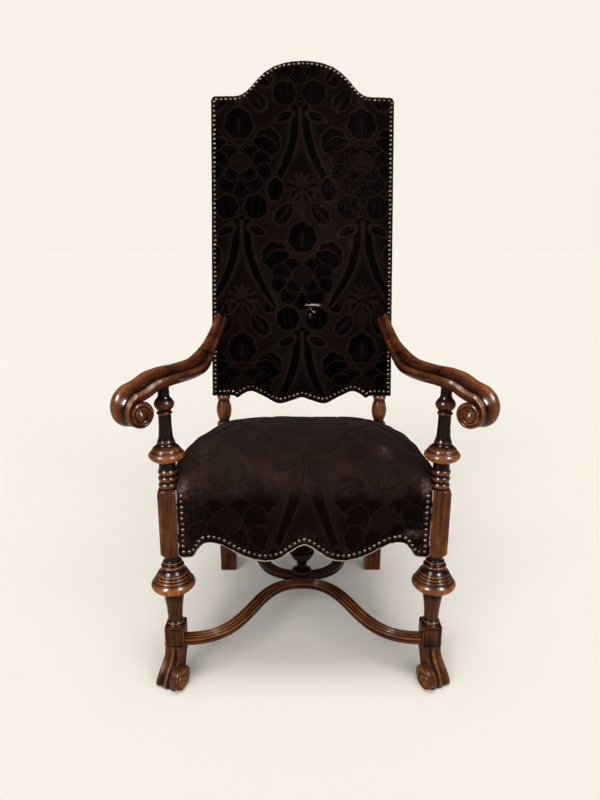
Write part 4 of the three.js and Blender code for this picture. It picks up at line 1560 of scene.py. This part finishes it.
@dataclass
class BackPanel:
    """The raked upholstered back, its arched top and scalloped foot."""

    rake: float = 10.06
    base_y: float = 431.6
    base_z: float = 542.5
    width_low: float = 488.5
    width_high: float = 482.5
    length: float = 788.5
    arch: float = 93.0
    shoulder: float = 65.0
    scallop: float = 20.4
    thickness: float = 48.0
    crown: float = 9.0
    round_edge: float = 9.0
    corner: float = 13.0
    figure_tip: float = 668.0
    nail_pitch: float = 11.8
    nail_radius: float = 4.1
    rear_nail_pitch: float = 26.0
    spacing: float = 2.15

    def place(self, x: Array, along: Array, depth: Array) -> Array:
        """Points x across, along the raked face and depth behind it.

        Args:
            x: Distance across.
            along: Distance up the raked face.
            depth: Distance behind the face.

        Returns:
            The points.
        """
        rake = math.radians(self.rake)
        x, along, depth = np.broadcast_arrays(x, along, depth)
        return np.stack([x, self.base_y + along * math.sin(rake) + depth * math.cos(rake),
                         self.base_z + along * math.cos(rake) - depth * math.sin(rake)], -1)

    def top_line(self, x: Array) -> Array:
        """Height of the top edge along the face at x: level shoulders, a cove and the arch.

        Args:
            x: Distance across.

        Returns:
            The heights.
        """
        half = self.width_high / 2
        edge = half - self.shoulder
        t = np.abs(x) / edge
        knots = [0, 0.14, 0.29, 0.42, 0.526, 0.60, 0.676, 0.75, 0.83, 0.9, 0.97, 1.035, 1.4]
        rises = [1.0, 0.985, 0.935, 0.855, 0.745, 0.635, 0.5, 0.335, 0.175, 0.075, 0.03, 0.018, 0.0]
        fine = np.linspace(0, 1.4, 400)
        smooth = softened(np.column_stack([fine, np.interp(fine, knots, rises)]), 7)[:, 1]
        return self.length + self.arch * np.interp(t, fine, smooth)

    def low_line(self, x: Array) -> Array:
        """Height of the scalloped lower edge at x.

        Args:
            x: Distance across.

        Returns:
            The heights.
        """
        knots = [(-0.107, -0.59), (0, -0.2), (0.107, -0.59), (0.256, -1), (0.433, 0), (0.573, 0.64),
                 (0.68, 0.1), (0.7175, -0.245), (0.759, 0.0), (1.0, 0.0), (1.2, 0.0)]
        line = smooth_line(np.array(knots) * (self.width_low / 2, self.scallop), 1.0)
        return np.interp(np.abs(x), line[:, 0], line[:, 1])

    def grid(self, spacing: float) -> tuple:
        """Points over the outline, closer together at its edges.

        Args:
            spacing: Distance between points.

        Returns:
            Distances across, up the face and in from the outline.
        """
        def spread(count: int) -> Array:
            """Steps from -1 to 1 that shorten towards both ends."""
            t = np.linspace(-1, 1, count)
            return 0.86 * t + 0.14 * np.sin(np.pi / 2 * t)

        u = spread(int(self.width_low / spacing))[None, :]
        v = (spread(int((self.length + self.arch) / spacing))[:, None] + 1) / 2
        half = (self.width_low + (self.width_high - self.width_low) * v) / 2
        above = np.clip(v * self.length - (self.length - self.corner), 0, self.corner)
        cut = np.where(v < 1.0, self.corner - np.sqrt(self.corner ** 2 - above ** 2), self.corner)
        half = half - 0.9 * cut
        x = u * half
        low, top = self.low_line(x), self.top_line(x)
        along = low + v * (top - low)
        from_edge = np.minimum(half - np.abs(x), np.minimum(along - low, (top - along) * 0.8))
        return x, along, np.maximum(from_edge, 0)

    def panel(self, front: float, rim: float) -> Skin:
        """The stuffed panel: its face on the grid, a rim behind it and a flat closing face.

        Formula: the face falls by a quarter circle at the edge and swells by the crown times
        one minus the edge distance's falling exponential.

        Args:
            front: Depth of the face's edge.
            rim: Depth of the closing face.

        Returns:
            The closed skin, with its figure and wear.
        """
        x, along, from_edge = self.grid(self.spacing)
        share = np.clip(from_edge / self.round_edge, 0, 1)
        fall = self.round_edge * 0.6 * (1 - np.sqrt(1 - (1 - share) ** 2))
        swell = self.crown * (1 - np.exp(-from_edge / 55.0))
        drift = 0.00003 * np.clip(along - 350, 0, None) ** 2
        drawing = Damask().draw(x + drift * 1.6, self.figure_tip - along)
        depth = front + (fall - swell) - 0.9 * drawing.figure + 0.5 * drawing.outline
        depth = depth + self.pull(x, along, from_edge)
        rubbed = 0.02 * bell(x - 120, 80.0) * bell(along - 560, 170.0)
        rubbed = rubbed + 0.004 * ramp(along - 700, 90.0) + 0.12 * np.exp(-from_edge / 3.0)
        rubbed, depth = self.tear(x, along, depth, rubbed)
        paler = 0.026 * bell(x, 130.0) * bell(along - 300, 260.0) * (1 - drawing.figure)
        points = self.place(x, along, depth)
        rows, columns = x.shape
        ring = self.border(rows, columns)
        edge_x, edge_along = x.ravel()[ring], along.ravel()[ring]
        behind = self.place(edge_x, edge_along, np.full(len(ring), rim))
        first = rows * columns
        faces = lattice(rows, columns, False).tolist()
        following = np.roll(ring, -1)
        skirt = first + np.arange(len(ring))
        faces += np.stack([ring, skirt, np.roll(skirt, -1), following], 1).tolist()
        faces.append(skirt[::-1].tolist())
        values = drawing.values(len(ring), faded=paler, rubbed=rubbed)
        return Skin(np.vstack([points.reshape(-1, 3), behind]), faces, values).outwards()

    @staticmethod
    def border(rows: int, columns: int) -> Array:
        """Numbers of a grid's border points in order."""
        numbers = np.arange(rows * columns).reshape(rows, columns)
        return np.concatenate([numbers[0, :-1], numbers[:-1, -1], numbers[-1, :0:-1], numbers[:0:-1, 0]])

    @staticmethod
    def pull(x: Array, along: Array, from_edge: Array) -> Array:
        """Small scallops of the cloth between the nails, and slow unevenness.

        Args:
            x: Distance across.
            along: Distance up the raked face.
            from_edge: Distance in from the outline.

        Returns:
            Depths to add.
        """
        near = np.exp(-from_edge / 10.0)
        beat = np.cos(2 * np.pi * along / 13.0) + np.cos(2 * np.pi * x / 12.2)
        slow = 0.7 * np.sin(x / 61.0 + along / 97.0) + 0.5 * np.sin(x / 37.0 - along / 53.0)
        return 0.35 * near * beat + slow

    @staticmethod
    def tear(x: Array, along: Array, depth: Array, rubbed: Array) -> tuple:
        """The short tear across the back with its bared threads.

        Args:
            x: Distance across.
            along: Distance up the raked face.
            depth: The face's depth.
            rubbed: The face's wear.

        Returns:
            The new wear and depth.
        """
        wander = 246.0 + 1.5 * np.sin(x / 5.0)
        cut = bell(along - wander, 1.5) * ((x > 9) & (x < 52))
        small = bell(x - 30, 3.5) * bell(along - 228, 1.6)
        small += bell(x - 22, 2.0) * bell(along - 217, 4.0)
        return rubbed + 0.5 * cut + 0.4 * small, depth + 1.3 * cut

    def threads(self, pale: bpy.types.Material) -> None:
        """The bared pale threads that bridge the tear and hang below it.

        Args:
            pale: Finish of the threads.
        """
        piece = Piece("bared_threads")
        rng = np.random.default_rng(5)
        runs = [(x, 246 + rng.normal(0, 1.3), 8 + rng.uniform(0, 9), rng.normal(0, 0.08)) for x in
                (14, 19, 25, 31, 36, 40, 44, 30, 38)]
        runs += [(24, 234, 6, -1.1), (30, 229, 7, 0.3), (33, 226, 5, -0.6), (21, 220, 6, 1.4)]
        for x, along, length, slope in runs:
            t = np.linspace(-0.5, 0.5, 9)
            bow = 0.6 * np.sin(6 * t + x)
            reach = length * t / math.hypot(1, slope)
            line = self.place(x + reach, along + slope * reach + bow, -8.3 - 0.4 * np.cos(3 * t))
            piece.add(cord_skin(line, 0.34))
        piece.build(pale, "back_velvet")

    def build(self, velvet: bpy.types.Material, plain: bpy.types.Material, pale: bpy.types.Material,
              nails: Nails) -> None:
        """Makes the velvet face, the plain cloth behind, the threads and the nails.

        Args:
            velvet: Finish of the face.
            plain: Finish of the rear.
            pale: Finish of the bared threads.
            nails: The nails that this part adds to.
        """
        face = Piece("velvet_back")
        face.add(self.panel(1.0, self.thickness - 3.0))
        cover = face.build(velvet, "back_velvet", ["back"], 80)
        self.threads(pale)
        rear = Piece("plain_rear_cloth")
        rear.add(self.rear_cloth())
        rear.build(plain, "back_velvet", smooth_angle=80)
        self.set_nails(nails)

    def rear_cloth(self) -> Skin:
        """A thin plain panel over the rear, a little inside the outline.

        Returns:
            The closed skin.
        """
        x, along, from_edge = self.grid(9.0)
        middle = (self.length + self.arch) / 2
        x, along = x * 0.975, middle + (along - middle) * 0.985
        swell = 2.5 * (1 - np.exp(-from_edge / 40.0))
        outer = self.place(x, along, self.thickness - 1.5 + swell * 0.9)
        inner = self.place(x, along, np.full(x.shape, self.thickness - 5.0))
        rows, columns = x.shape
        ring = self.border(rows, columns)
        first = rows * columns
        faces = lattice(rows, columns, False)
        following = np.roll(ring, -1)
        sides = np.stack([ring, ring + first, following + first, following], 1)
        turned = faces[:, ::-1] + first
        return Skin(np.vstack([outer.reshape(-1, 3), inner.reshape(-1, 3)]),
                    np.vstack([faces, sides, turned]).tolist(), {}).outwards()

    def set_nails(self, nails: Nails) -> None:
        """Nails along the lower edge, the sides and the arch, on the front and the rear.

        Args:
            nails: The nails that this part adds to.
        """
        rake = math.radians(self.rake)
        forward = np.array([0.0, -math.cos(rake), math.sin(rake)])
        for depth, facing, pitch, inset in (
                (-1.2, forward, self.nail_pitch, 9.0),
                (self.thickness - 1.0, -forward, self.rear_nail_pitch, 15.0)):
            half = self.width_low / 2 - inset
            x = np.linspace(-half, half, 300)
            foot = self.place(x, self.low_line(x) + inset + 3, np.full(300, depth))
            rise = np.linspace(12, self.length - inset - 6, 60)
            half_at = (self.width_low + (self.width_high - self.width_low) * rise / self.length) / 2 - inset
            top_x = np.linspace(-1, 1, 300) * (self.width_high / 2 - inset - 6)
            top = self.place(top_x, self.top_line(top_x) - inset - 1, np.full(300, depth))
            nails.row(foot, facing, pitch, self.nail_radius)
            nails.row(top, facing, pitch, self.nail_radius - 0.1)
            for way in (-1, 1):
                side = self.place(way * half_at, rise, np.full(60, depth))
                nails.row(side, facing, pitch, self.nail_radius)


@dataclass
class Seat:
    """The domed seat: velvet over the top and down the scalloped front apron."""

    edge: float = 430.0
    crown: float = 104.0
    front: float = -32.5
    rear: float = 474.1
    half_front: float = 300.5
    half_rear: float = 237.75
    block_room: float = 20.8
    between_blocks: float = 260.6
    apron_low: float = 306.0
    underside: float = 345.0
    figure_tip: float = 452.0
    nail_pitch: float = 11.3
    nail_radius: float = 4.2
    side_nail_pitch: float = 26.0
    spacing: float = 2.25

    def slope(self, y: Array) -> Array:
        """Half the width of the whole seat at y, which narrows to the rear."""
        return np.interp(y, [self.front, self.rear], [self.half_front, self.half_rear])

    def half_width(self, y: Array) -> Array:
        """Half the width at y: between the leg blocks in front, then out to the side rails.

        Args:
            y: Distance back from the front legs' axis.

        Returns:
            Half the width.
        """
        beside = ramp(y - self.block_room, 3.0)
        rear_room = ramp(y - 428.8, 3.0)
        open_half = self.between_blocks + (self.slope(y) - 6.0 - self.between_blocks) * beside
        return open_half + (192.5 - open_half) * rear_room

    def dome(self, x: Array, y: Array) -> Array:
        """Height of the stuffing.

        Formula: the edge height plus the crown times a cubic superellipse across and a
        rounded fall to the front and the rear, a little lower behind.

        Args:
            x: Distance across.
            y: Distance back from the front legs' axis.

        Returns:
            The heights.
        """
        middle = (self.front + self.rear) / 2
        length = (self.rear - self.front) / 2
        across = np.clip(np.abs(x) / self.slope(y), 0, 1)
        back = np.clip((y - middle) / length, -1, 1)
        side = (1 - across ** 3) ** (1 / 3)
        return self.edge + self.crown * side * np.sqrt(1 - np.abs(back) ** 2.2) * (1 - 0.32 * back)

    def apron(self, x: Array) -> Array:
        """Height of the apron's scalloped lower edge at x.

        Args:
            x: Distance across.

        Returns:
            The heights.
        """
        knots = np.array([(-0.11, 22), (0, 37), (0.11, 22), (0.2, 5), (0.34, 0), (0.5, 14), (0.68, 40),
                          (0.79, 42), (0.86, 22), (0.885, 11), (0.96, 9), (1.1, 9)], float) * (261.0, 1)
        line = smooth_line(knots, 1.5)
        return self.apron_low + np.interp(np.abs(x), line[:, 0], line[:, 1])

    def sheet(self) -> Array:
        """The cover as one grid from the rear edge over the dome and down the front.

        Returns:
            Points, shaped (rows down the cloth, columns across it, 3).
        """
        over = self.rear - (self.rear - self.front) * (1 - np.cos(np.linspace(0, np.pi, 260))) / 2
        even = even_line(np.column_stack([over, self.dome(0 * over, over)]), self.spacing)[:, 0]
        even = np.clip(even, self.front, self.rear)
        wall = np.linspace(0, 1, int((self.edge - self.apron_low) / self.spacing))[1:]
        columns = int(2 * self.half_front / self.spacing)
        u = np.linspace(-1, 1, columns)
        u = 0.9 * u + 0.1 * np.sin(np.pi / 2 * u)
        top_x = u[None, :] * self.half_width(even)[:, None]
        top_y = np.broadcast_to(even[:, None], top_x.shape)
        top_z = self.dome(top_x, top_y)
        low = self.apron(top_x[-1])[None, :]
        wall_z = top_z[-1][None, :] + (low - top_z[-1][None, :]) * wall[:, None]
        belly = 3.0 * ramp(wall_z - self.apron_low, 90.0) - 3.0
        wall_y = self.front - belly * 0.6 + 0 * wall_z
        wall_x = np.broadcast_to(top_x[-1], wall_z.shape)
        both = ((top_x, wall_x), (top_y, wall_y), (top_z, wall_z))
        return np.stack([np.vstack(pair) for pair in both], -1)

    def build(self, velvet: bpy.types.Material, edge: bpy.types.Material, nails: Nails) -> None:
        """Makes the cover, its edge roll and its nails.

        Args:
            velvet: Finish of the cover.
            edge: Finish of its turned edge.
            nails: The nails that this part adds to.
        """
        points = self.sheet()
        middle = points.shape[1] // 2
        run = length_along(points[:, middle])
        behind = points[:, middle, 1] > 60
        tip = run[np.argmin(np.abs(points[:, middle, 2] - self.figure_tip) + 400 * behind)]
        x = points[..., 0]
        drawing = Damask().draw(x - 3.0, run[:, None] - tip + 0 * x)
        points = self.worked(points, drawing)
        piece = Piece("velvet_seat")
        piece.add(self.closed(points, drawing, *self.rubbed(points)))
        seat = piece.build(velvet, "seat_velvet", ["seat"], 60)
        self.set_nails(nails, edge)

    def worked(self, points: Array, drawing: Drawing) -> Array:
        """The sheet with its figure, soft hollows and the pleats that run to the nails.

        Formula: every point moves along the grid's normal by the figure's relief, two slow
        waves, and near the nailed edges by short waves that fade inwards.

        Args:
            points: The cover's points.
            drawing: The woven figure.

        Returns:
            The moved points.
        """
        down = np.gradient(points, axis=0)
        across = np.gradient(points, axis=1)
        normal = np.cross(across, down)
        normal /= np.linalg.norm(normal, axis=-1, keepdims=True) + 1e-9
        normal *= np.sign(normal[..., 2:3].mean() or 1)
        x, y, z = points[..., 0], points[..., 1], points[..., 2]
        from_side = np.abs(np.abs(x) - self.half_width(y))
        slow = 1.6 * np.sin(x / 47.0 + y / 83.0) + 1.3 * np.sin(y / 39.0 - x / 71.0)
        creases = 1.1 * np.exp(-from_side / 60.0) * np.sin((z + 0.6 * y) / 7.5 + np.sin(x / 23.0))
        fold = 0.9 * bell(z - 470, 30.0) * np.sin(x / 15.0 + 1.5 * np.sin(x / 41.0))
        from_low = np.where(y < self.front + 8, z - self.apron(x), 99.0)
        settle = ramp(from_side, 14.0) * ramp(from_low, 32.0)
        relief = 1.5 * drawing.figure - 0.9 * drawing.outline
        return points + normal * (relief + (slow + creases + fold) * settle)[..., None]

    @staticmethod
    def rubbed(points: Array) -> tuple:
        """Worn velvet at the front corners and on the right, painted sheen on the left shoulder and along the
        front edge, and painted top light that lightens the top, more on the left.

        Args:
            points: The cover's points.

        Returns:
            The wear with the painted sheen, and the painted top light, of each point.
        """
        x, y, z = points[..., 0], points[..., 1], points[..., 2]
        corners = bell(np.abs(x) - 250, 12.0) * bell(z - 464, 13.0)
        corners = corners * (y < 60)
        mark = 0.13 * bell(x - 172, 14.0) * bell(y - 52, 22.0)
        # Painted top light: lighter with height, more on the left.
        top = 0.06 * ramp(z - 438, 60.0) * (1 - 0.25 * np.clip(x / 260.0, -1, 1))
        # Painted sheen on the left shoulder.
        shoulder = 0.06 * bell(x + 235, 30.0) * bell(y - 70, 100.0)
        # Painted sheen along the front edge where the top turns down.
        painted_edge_sheen = 0.04 * bell(z - 470 + 8 * np.sin(x / 40.0), 15.0) * (y < 100)
        painted_edge_sheen = painted_edge_sheen * (0.3 + 0.7 * np.sin(x / 24.0 + 1.3) ** 2)
        chafe = 0.22 * bell(x - 228, 18.0) * bell(z - 368, 8.0) * (y < 10)
        return corners * 0.3 + mark + shoulder + painted_edge_sheen + chafe, top

    def closed(self, points: Array, drawing: Drawing, rubbed: Array, faded: Array) -> Skin:
        """The sheet closed by side walls, a rear wall and a flat underside.

        Args:
            points: The cover's points.
            drawing: The woven figure.
            rubbed: The cover's wear and painted sheen.
            faded: The cover's painted top light.

        Returns:
            The closed skin.
        """
        rows, columns = points.shape[:2]
        ring = BackPanel.border(rows, columns)
        flat = points.reshape(-1, 3)
        edge = flat[ring]
        on_front = edge[:, 2] < self.edge - 20
        low = np.where(on_front, edge[:, 2], self.underside)
        layers = [np.column_stack([edge[:, :2], edge[:, 2] + (low - edge[:, 2]) * t])
                  for t in np.linspace(0, 1, 10)[1:]]
        inward = layers[-1].copy()
        inward[:, 1] = np.maximum(inward[:, 1], self.front + 28)
        layers.append(inward)
        first = rows * columns
        count = len(ring)
        index = np.vstack([ring[None, :], first + np.arange(count * len(layers)).reshape(len(layers), count)])
        faces = lattice(rows, columns, False).tolist()
        walls = np.stack([index[:-1], index[1:], np.roll(index[1:], -1, 1), np.roll(index[:-1], -1, 1)], -1)
        faces += walls.reshape(-1, 4).tolist()
        faces.append(index[-1][::-1].tolist())
        extra = count * len(layers)
        values = drawing.values(extra, faded=faded, rubbed=rubbed)
        return Skin(np.vstack([flat] + layers), faces, values).outwards()

    def set_nails(self, nails: Nails, edge: bpy.types.Material) -> None:
        """Nails up beside the blocks, along the scallops and along the side rails.

        Args:
            nails: The nails that this part adds to.
            edge: Finish of the turned edge.
        """
        forward = (0.0, -1.0, 0.0)
        half = self.between_blocks - 10.5
        x = np.linspace(-half, half, 400)
        line = np.column_stack([x, np.full(400, self.front - 1.6), self.apron(x) + 12.5])
        nails.row(line, forward, self.nail_pitch, self.nail_radius)
        for way in (-1, 1):
            z = np.linspace(self.apron_low + 34, self.edge + 22, 20)
            beside = np.column_stack([np.full(20, way * half), np.full(20, self.front - 1.0), z])
            nails.row(beside, forward, self.nail_pitch, self.nail_radius)
            y = np.linspace(34, 420, 40)
            side = np.column_stack([way * (self.half_width(y) + 0.2), y, np.full(40, self.underside + 12)])
            nails.row(side, (float(way), 0.0, 0.0), self.side_nail_pitch, self.nail_radius + 0.1)
        self.edge_roll(edge)

    def edge_roll(self, cloth: bpy.types.Material) -> None:
        """The turned edge of the velvet along the scallops and up beside the blocks.

        Args:
            cloth: Finish of the roll.
        """
        half = self.between_blocks - 0.6
        x = np.linspace(-half, half, 500)
        line = np.column_stack([x, np.full(500, self.front + 0.8), self.apron(x)])
        rise = np.linspace(self.apron_low + 9, self.edge + 34, 30)
        left = np.column_stack([np.full(30, -half), np.full(30, self.front + 1.2), rise])[::-1]
        right = left[::-1] * (-1, 1, 1)
        path = even_line(np.vstack([left, line, right]), 3.0)
        wander = 0.5 * np.sin(np.arange(len(path)) * 0.9)[:, None]
        path = softened(path, 1.2) + wander * (0, 0, 0.6)
        piece = Piece("turned_velvet_edge")
        piece.add(cord_skin(path, 1.25))
        piece.build(cloth, "seat_velvet")


def cord_skin(path: Array, radius: float) -> Skin:
    """A thin round roll along a path: a circle of eight points square to the path.

    Args:
        path: Points, one row each.
        radius: Half its thickness.

    Returns:
        The closed skin.
    """
    along = unit(np.gradient(path, axis=0))
    aside = unit(np.cross(along, (0.0, 1.0, 0.0)))
    third = np.cross(along, aside)
    angle = np.linspace(0, 2 * np.pi, 8, endpoint=False)[None, :, None]
    rings = path[:, None] + radius * (np.cos(angle) * aside[:, None] + np.sin(angle) * third[:, None])
    return Skin.from_rings(rings, {})


# Setting


@dataclass(frozen=True)
class Studio:
    """Pale floor, soft light and the photograph's camera."""

    focal_pixels: float = 602.0
    image_height: int = 800
    camera_at: tuple = (-25.06, -1161.3, 949.84)
    pitch: float = 0.25696
    yaw: float = 0.01261
    roll: float = 0.00515
    backdrop: tuple = (0.939, 0.88, 0.799)

    def camera(self) -> None:
        """A camera whose columns are right, up and back; sensor and lens give the focal length."""
        sensor = 36.0
        data = bpy.data.cameras.new("camera")
        data.sensor_width = sensor
        data.lens = self.focal_pixels * sensor / self.image_height
        ahead = Vector((math.sin(self.yaw) * math.cos(self.pitch), math.cos(self.yaw) * math.cos(self.pitch),
                        -math.sin(self.pitch)))
        level = Vector((math.cos(self.yaw), -math.sin(self.yaw), 0.0))
        above = level.cross(ahead)
        right = level * math.cos(self.roll) + above * math.sin(self.roll)
        up = above * math.cos(self.roll) - level * math.sin(self.roll)
        matrix = Matrix((right, up, -ahead)).transposed().to_4x4()
        matrix.translation = (Vector(self.camera_at) + Vector((0, LEG_AXIS_Y, 0))) * MM
        camera = bpy.data.objects.new("camera", data)
        camera.matrix_world = matrix
        bpy.context.scene.collection.objects.link(camera)
        bpy.context.scene.camera = camera

    def floor(self) -> None:
        """A wide pale floor."""
        reach = 60.0
        mesh = bpy.data.meshes.new("pale_floor")
        corners = [(-reach, -reach, 0), (reach, -reach, 0), (reach, reach, 0), (-reach, reach, 0)]
        mesh.from_pydata(corners, [], [(0, 1, 2, 3)])
        bench = Bench("pale_floor")
        mesh.materials.append(bench.finish({
            "Base Color": (*self.backdrop, 1.0), "Roughness": 0.95, "Specular IOR Level": 0.0}))
        floor = bpy.data.objects.new("pale_floor", mesh)
        bpy.context.scene.collection.objects.link(floor)

    def world(self, fill: float) -> None:
        """The backdrop colour for the camera, a dim fill for the rest and a dimmer one in gloss.

        Args:
            fill: Strength of the fill.
        """
        world = bpy.data.worlds.new("studio")
        bpy.context.scene.world = world
        world.use_nodes = True
        tree = world.node_tree
        tree.nodes.clear()
        path = tree.nodes.new("ShaderNodeLightPath")
        shader = None
        for ray, colour, strength in (("", (1.0, 1.0, 1.0), fill),
                                      ("Is Glossy Ray", (1.0, 0.97, 0.93), fill * 0.25),
                                      ("Is Camera Ray", self.backdrop, 1.0)):
            light = tree.nodes.new("ShaderNodeBackground")
            light.inputs["Color"].default_value = (*colour, 1.0)
            light.inputs["Strength"].default_value = strength
            if shader is None:
                shader = light
                continue
            mix = tree.nodes.new("ShaderNodeMixShader")
            tree.links.new(path.outputs[ray], mix.inputs[0])
            tree.links.new(shader.outputs[0], mix.inputs[1])
            tree.links.new(light.outputs[0], mix.inputs[2])
            shader = mix
        output = tree.nodes.new("ShaderNodeOutputWorld")
        tree.links.new(shader.outputs[0], output.inputs["Surface"])

    @staticmethod
    def lamp(data: bpy.types.Light, at: tuple, direction: Vector) -> bpy.types.Object:
        """Puts a light at a place, shining along a direction.

        Args:
            data: The light.
            at: Its place.
            direction: Where it shines.

        Returns:
            The lamp's object.
        """
        lamp = bpy.data.objects.new(data.name, data)
        lamp.location = at
        lamp.rotation_euler = direction.to_track_quat("-Z", "Y").to_euler()
        bpy.context.scene.collection.objects.link(lamp)
        return lamp

    def sun(self, name: str, direction: tuple, strength: float, spread: float) -> None:
        """A distant soft light that travels along a direction and leaves no shine.

        Args:
            name: Name of the light.
            direction: Where the light travels.
            strength: Its power.
            spread: Its width in degrees.
        """
        data = bpy.data.lights.new(name, "SUN")
        data.energy = strength
        data.angle = math.radians(spread)
        self.lamp(data, (0, 0, 0), Vector(direction)).visible_glossy = False

    def softbox(self, name: str, at: tuple, aim: tuple, size: tuple, power: float) -> None:
        """A rectangular light that shows in gloss alone.

        Args:
            name: Name of the light.
            at: Its place.
            aim: Where it points.
            size: Its width and height.
            power: Its watts.
        """
        data = bpy.data.lights.new(name, "AREA")
        data.shape = "RECTANGLE"
        data.size, data.size_y = size
        data.energy = power
        self.lamp(data, at, Vector(aim) - Vector(at)).visible_diffuse = False

    def build(self) -> None:
        """Sets the whole studio."""
        bpy.context.scene.view_settings.view_transform = "Standard"
        self.camera()
        self.floor()
        self.world(0.13)
        self.sun("overhead", (0.0, 0.1, -1.0), 1.2, 26)
        self.sun("low_front", (0.0, 1.0, -0.38), 1.5, 50)
        self.sun("front_wash", (0.0, 0.75, -0.7), 0.45, 110)
        self.sun("front_left", (0.5, 0.8, -0.75), 0.75, 25)
        self.sun("front_right", (-0.6, 0.7, -0.8), 0.4, 25)
        self.softbox("left_window", (-1.6, -1.9, 2.1), (0, 0, 0.6), (0.4, 0.9), 480)
        self.softbox("right_window", (1.5, -1.7, 2.2), (0, 0, 0.6), (0.4, 0.9), 370)


def main() -> None:
    """Builds the studio and every sub-assembly in order."""
    logging.basicConfig(level=logging.INFO)
    Studio().build()
    walnut = AgedWalnut("aged_walnut").material()
    arm_walnut = AgedWalnut("hand_worn_walnut", body=(0.08, 0.0205, 0.008), wear=-0.03, gloss=0.24).material()
    # The rear rail and the urn stand deep under the seat: their darker walnut is partly a darker finish and
    # partly painted shade.
    dark_walnut = AgedWalnut("dark_and_shaded_walnut", (0.006, 0.0032, 0.0024), (0.012, 0.0055, 0.0038),
                             (0.06, 0.025, 0.013), wear=-0.15).material()
    seat_velvet = FiguredVelvet("seat_velvet", ground=(0.0068, 0.0033, 0.0026), pile=(0.0032, 0.0017, 0.0015),
                                outline=(0.017, 0.009, 0.0072), sheen=0.07).material()
    back_velvet = FiguredVelvet("back_velvet").material()
    edge_cloth = PlainCloth("turned_edge").material()
    rear_cloth = PlainCloth("rear_cloth", (0.012, 0.0075, 0.006)).material()
    bared_thread = PlainCloth("bared_thread", (0.62, 0.5, 0.42)).material()
    brass = AntiqueBrass().material()
    for side in Side:
        FrontLeg(side).build(walnut)
        RearLeg(side).build(walnut)
        Arm(side).build(arm_walnut)
    Stretchers().build(walnut, dark_walnut)
    back_nails, seat_nails = Nails("back_nails"), Nails("seat_nails")
    BackPanel().build(back_velvet, rear_cloth, bared_thread, back_nails)
    Seat().build(seat_velvet, edge_cloth, seat_nails)
    back_nails.build(brass)
    seat_nails.build(brass)


if __name__ == "__main__":
    main()
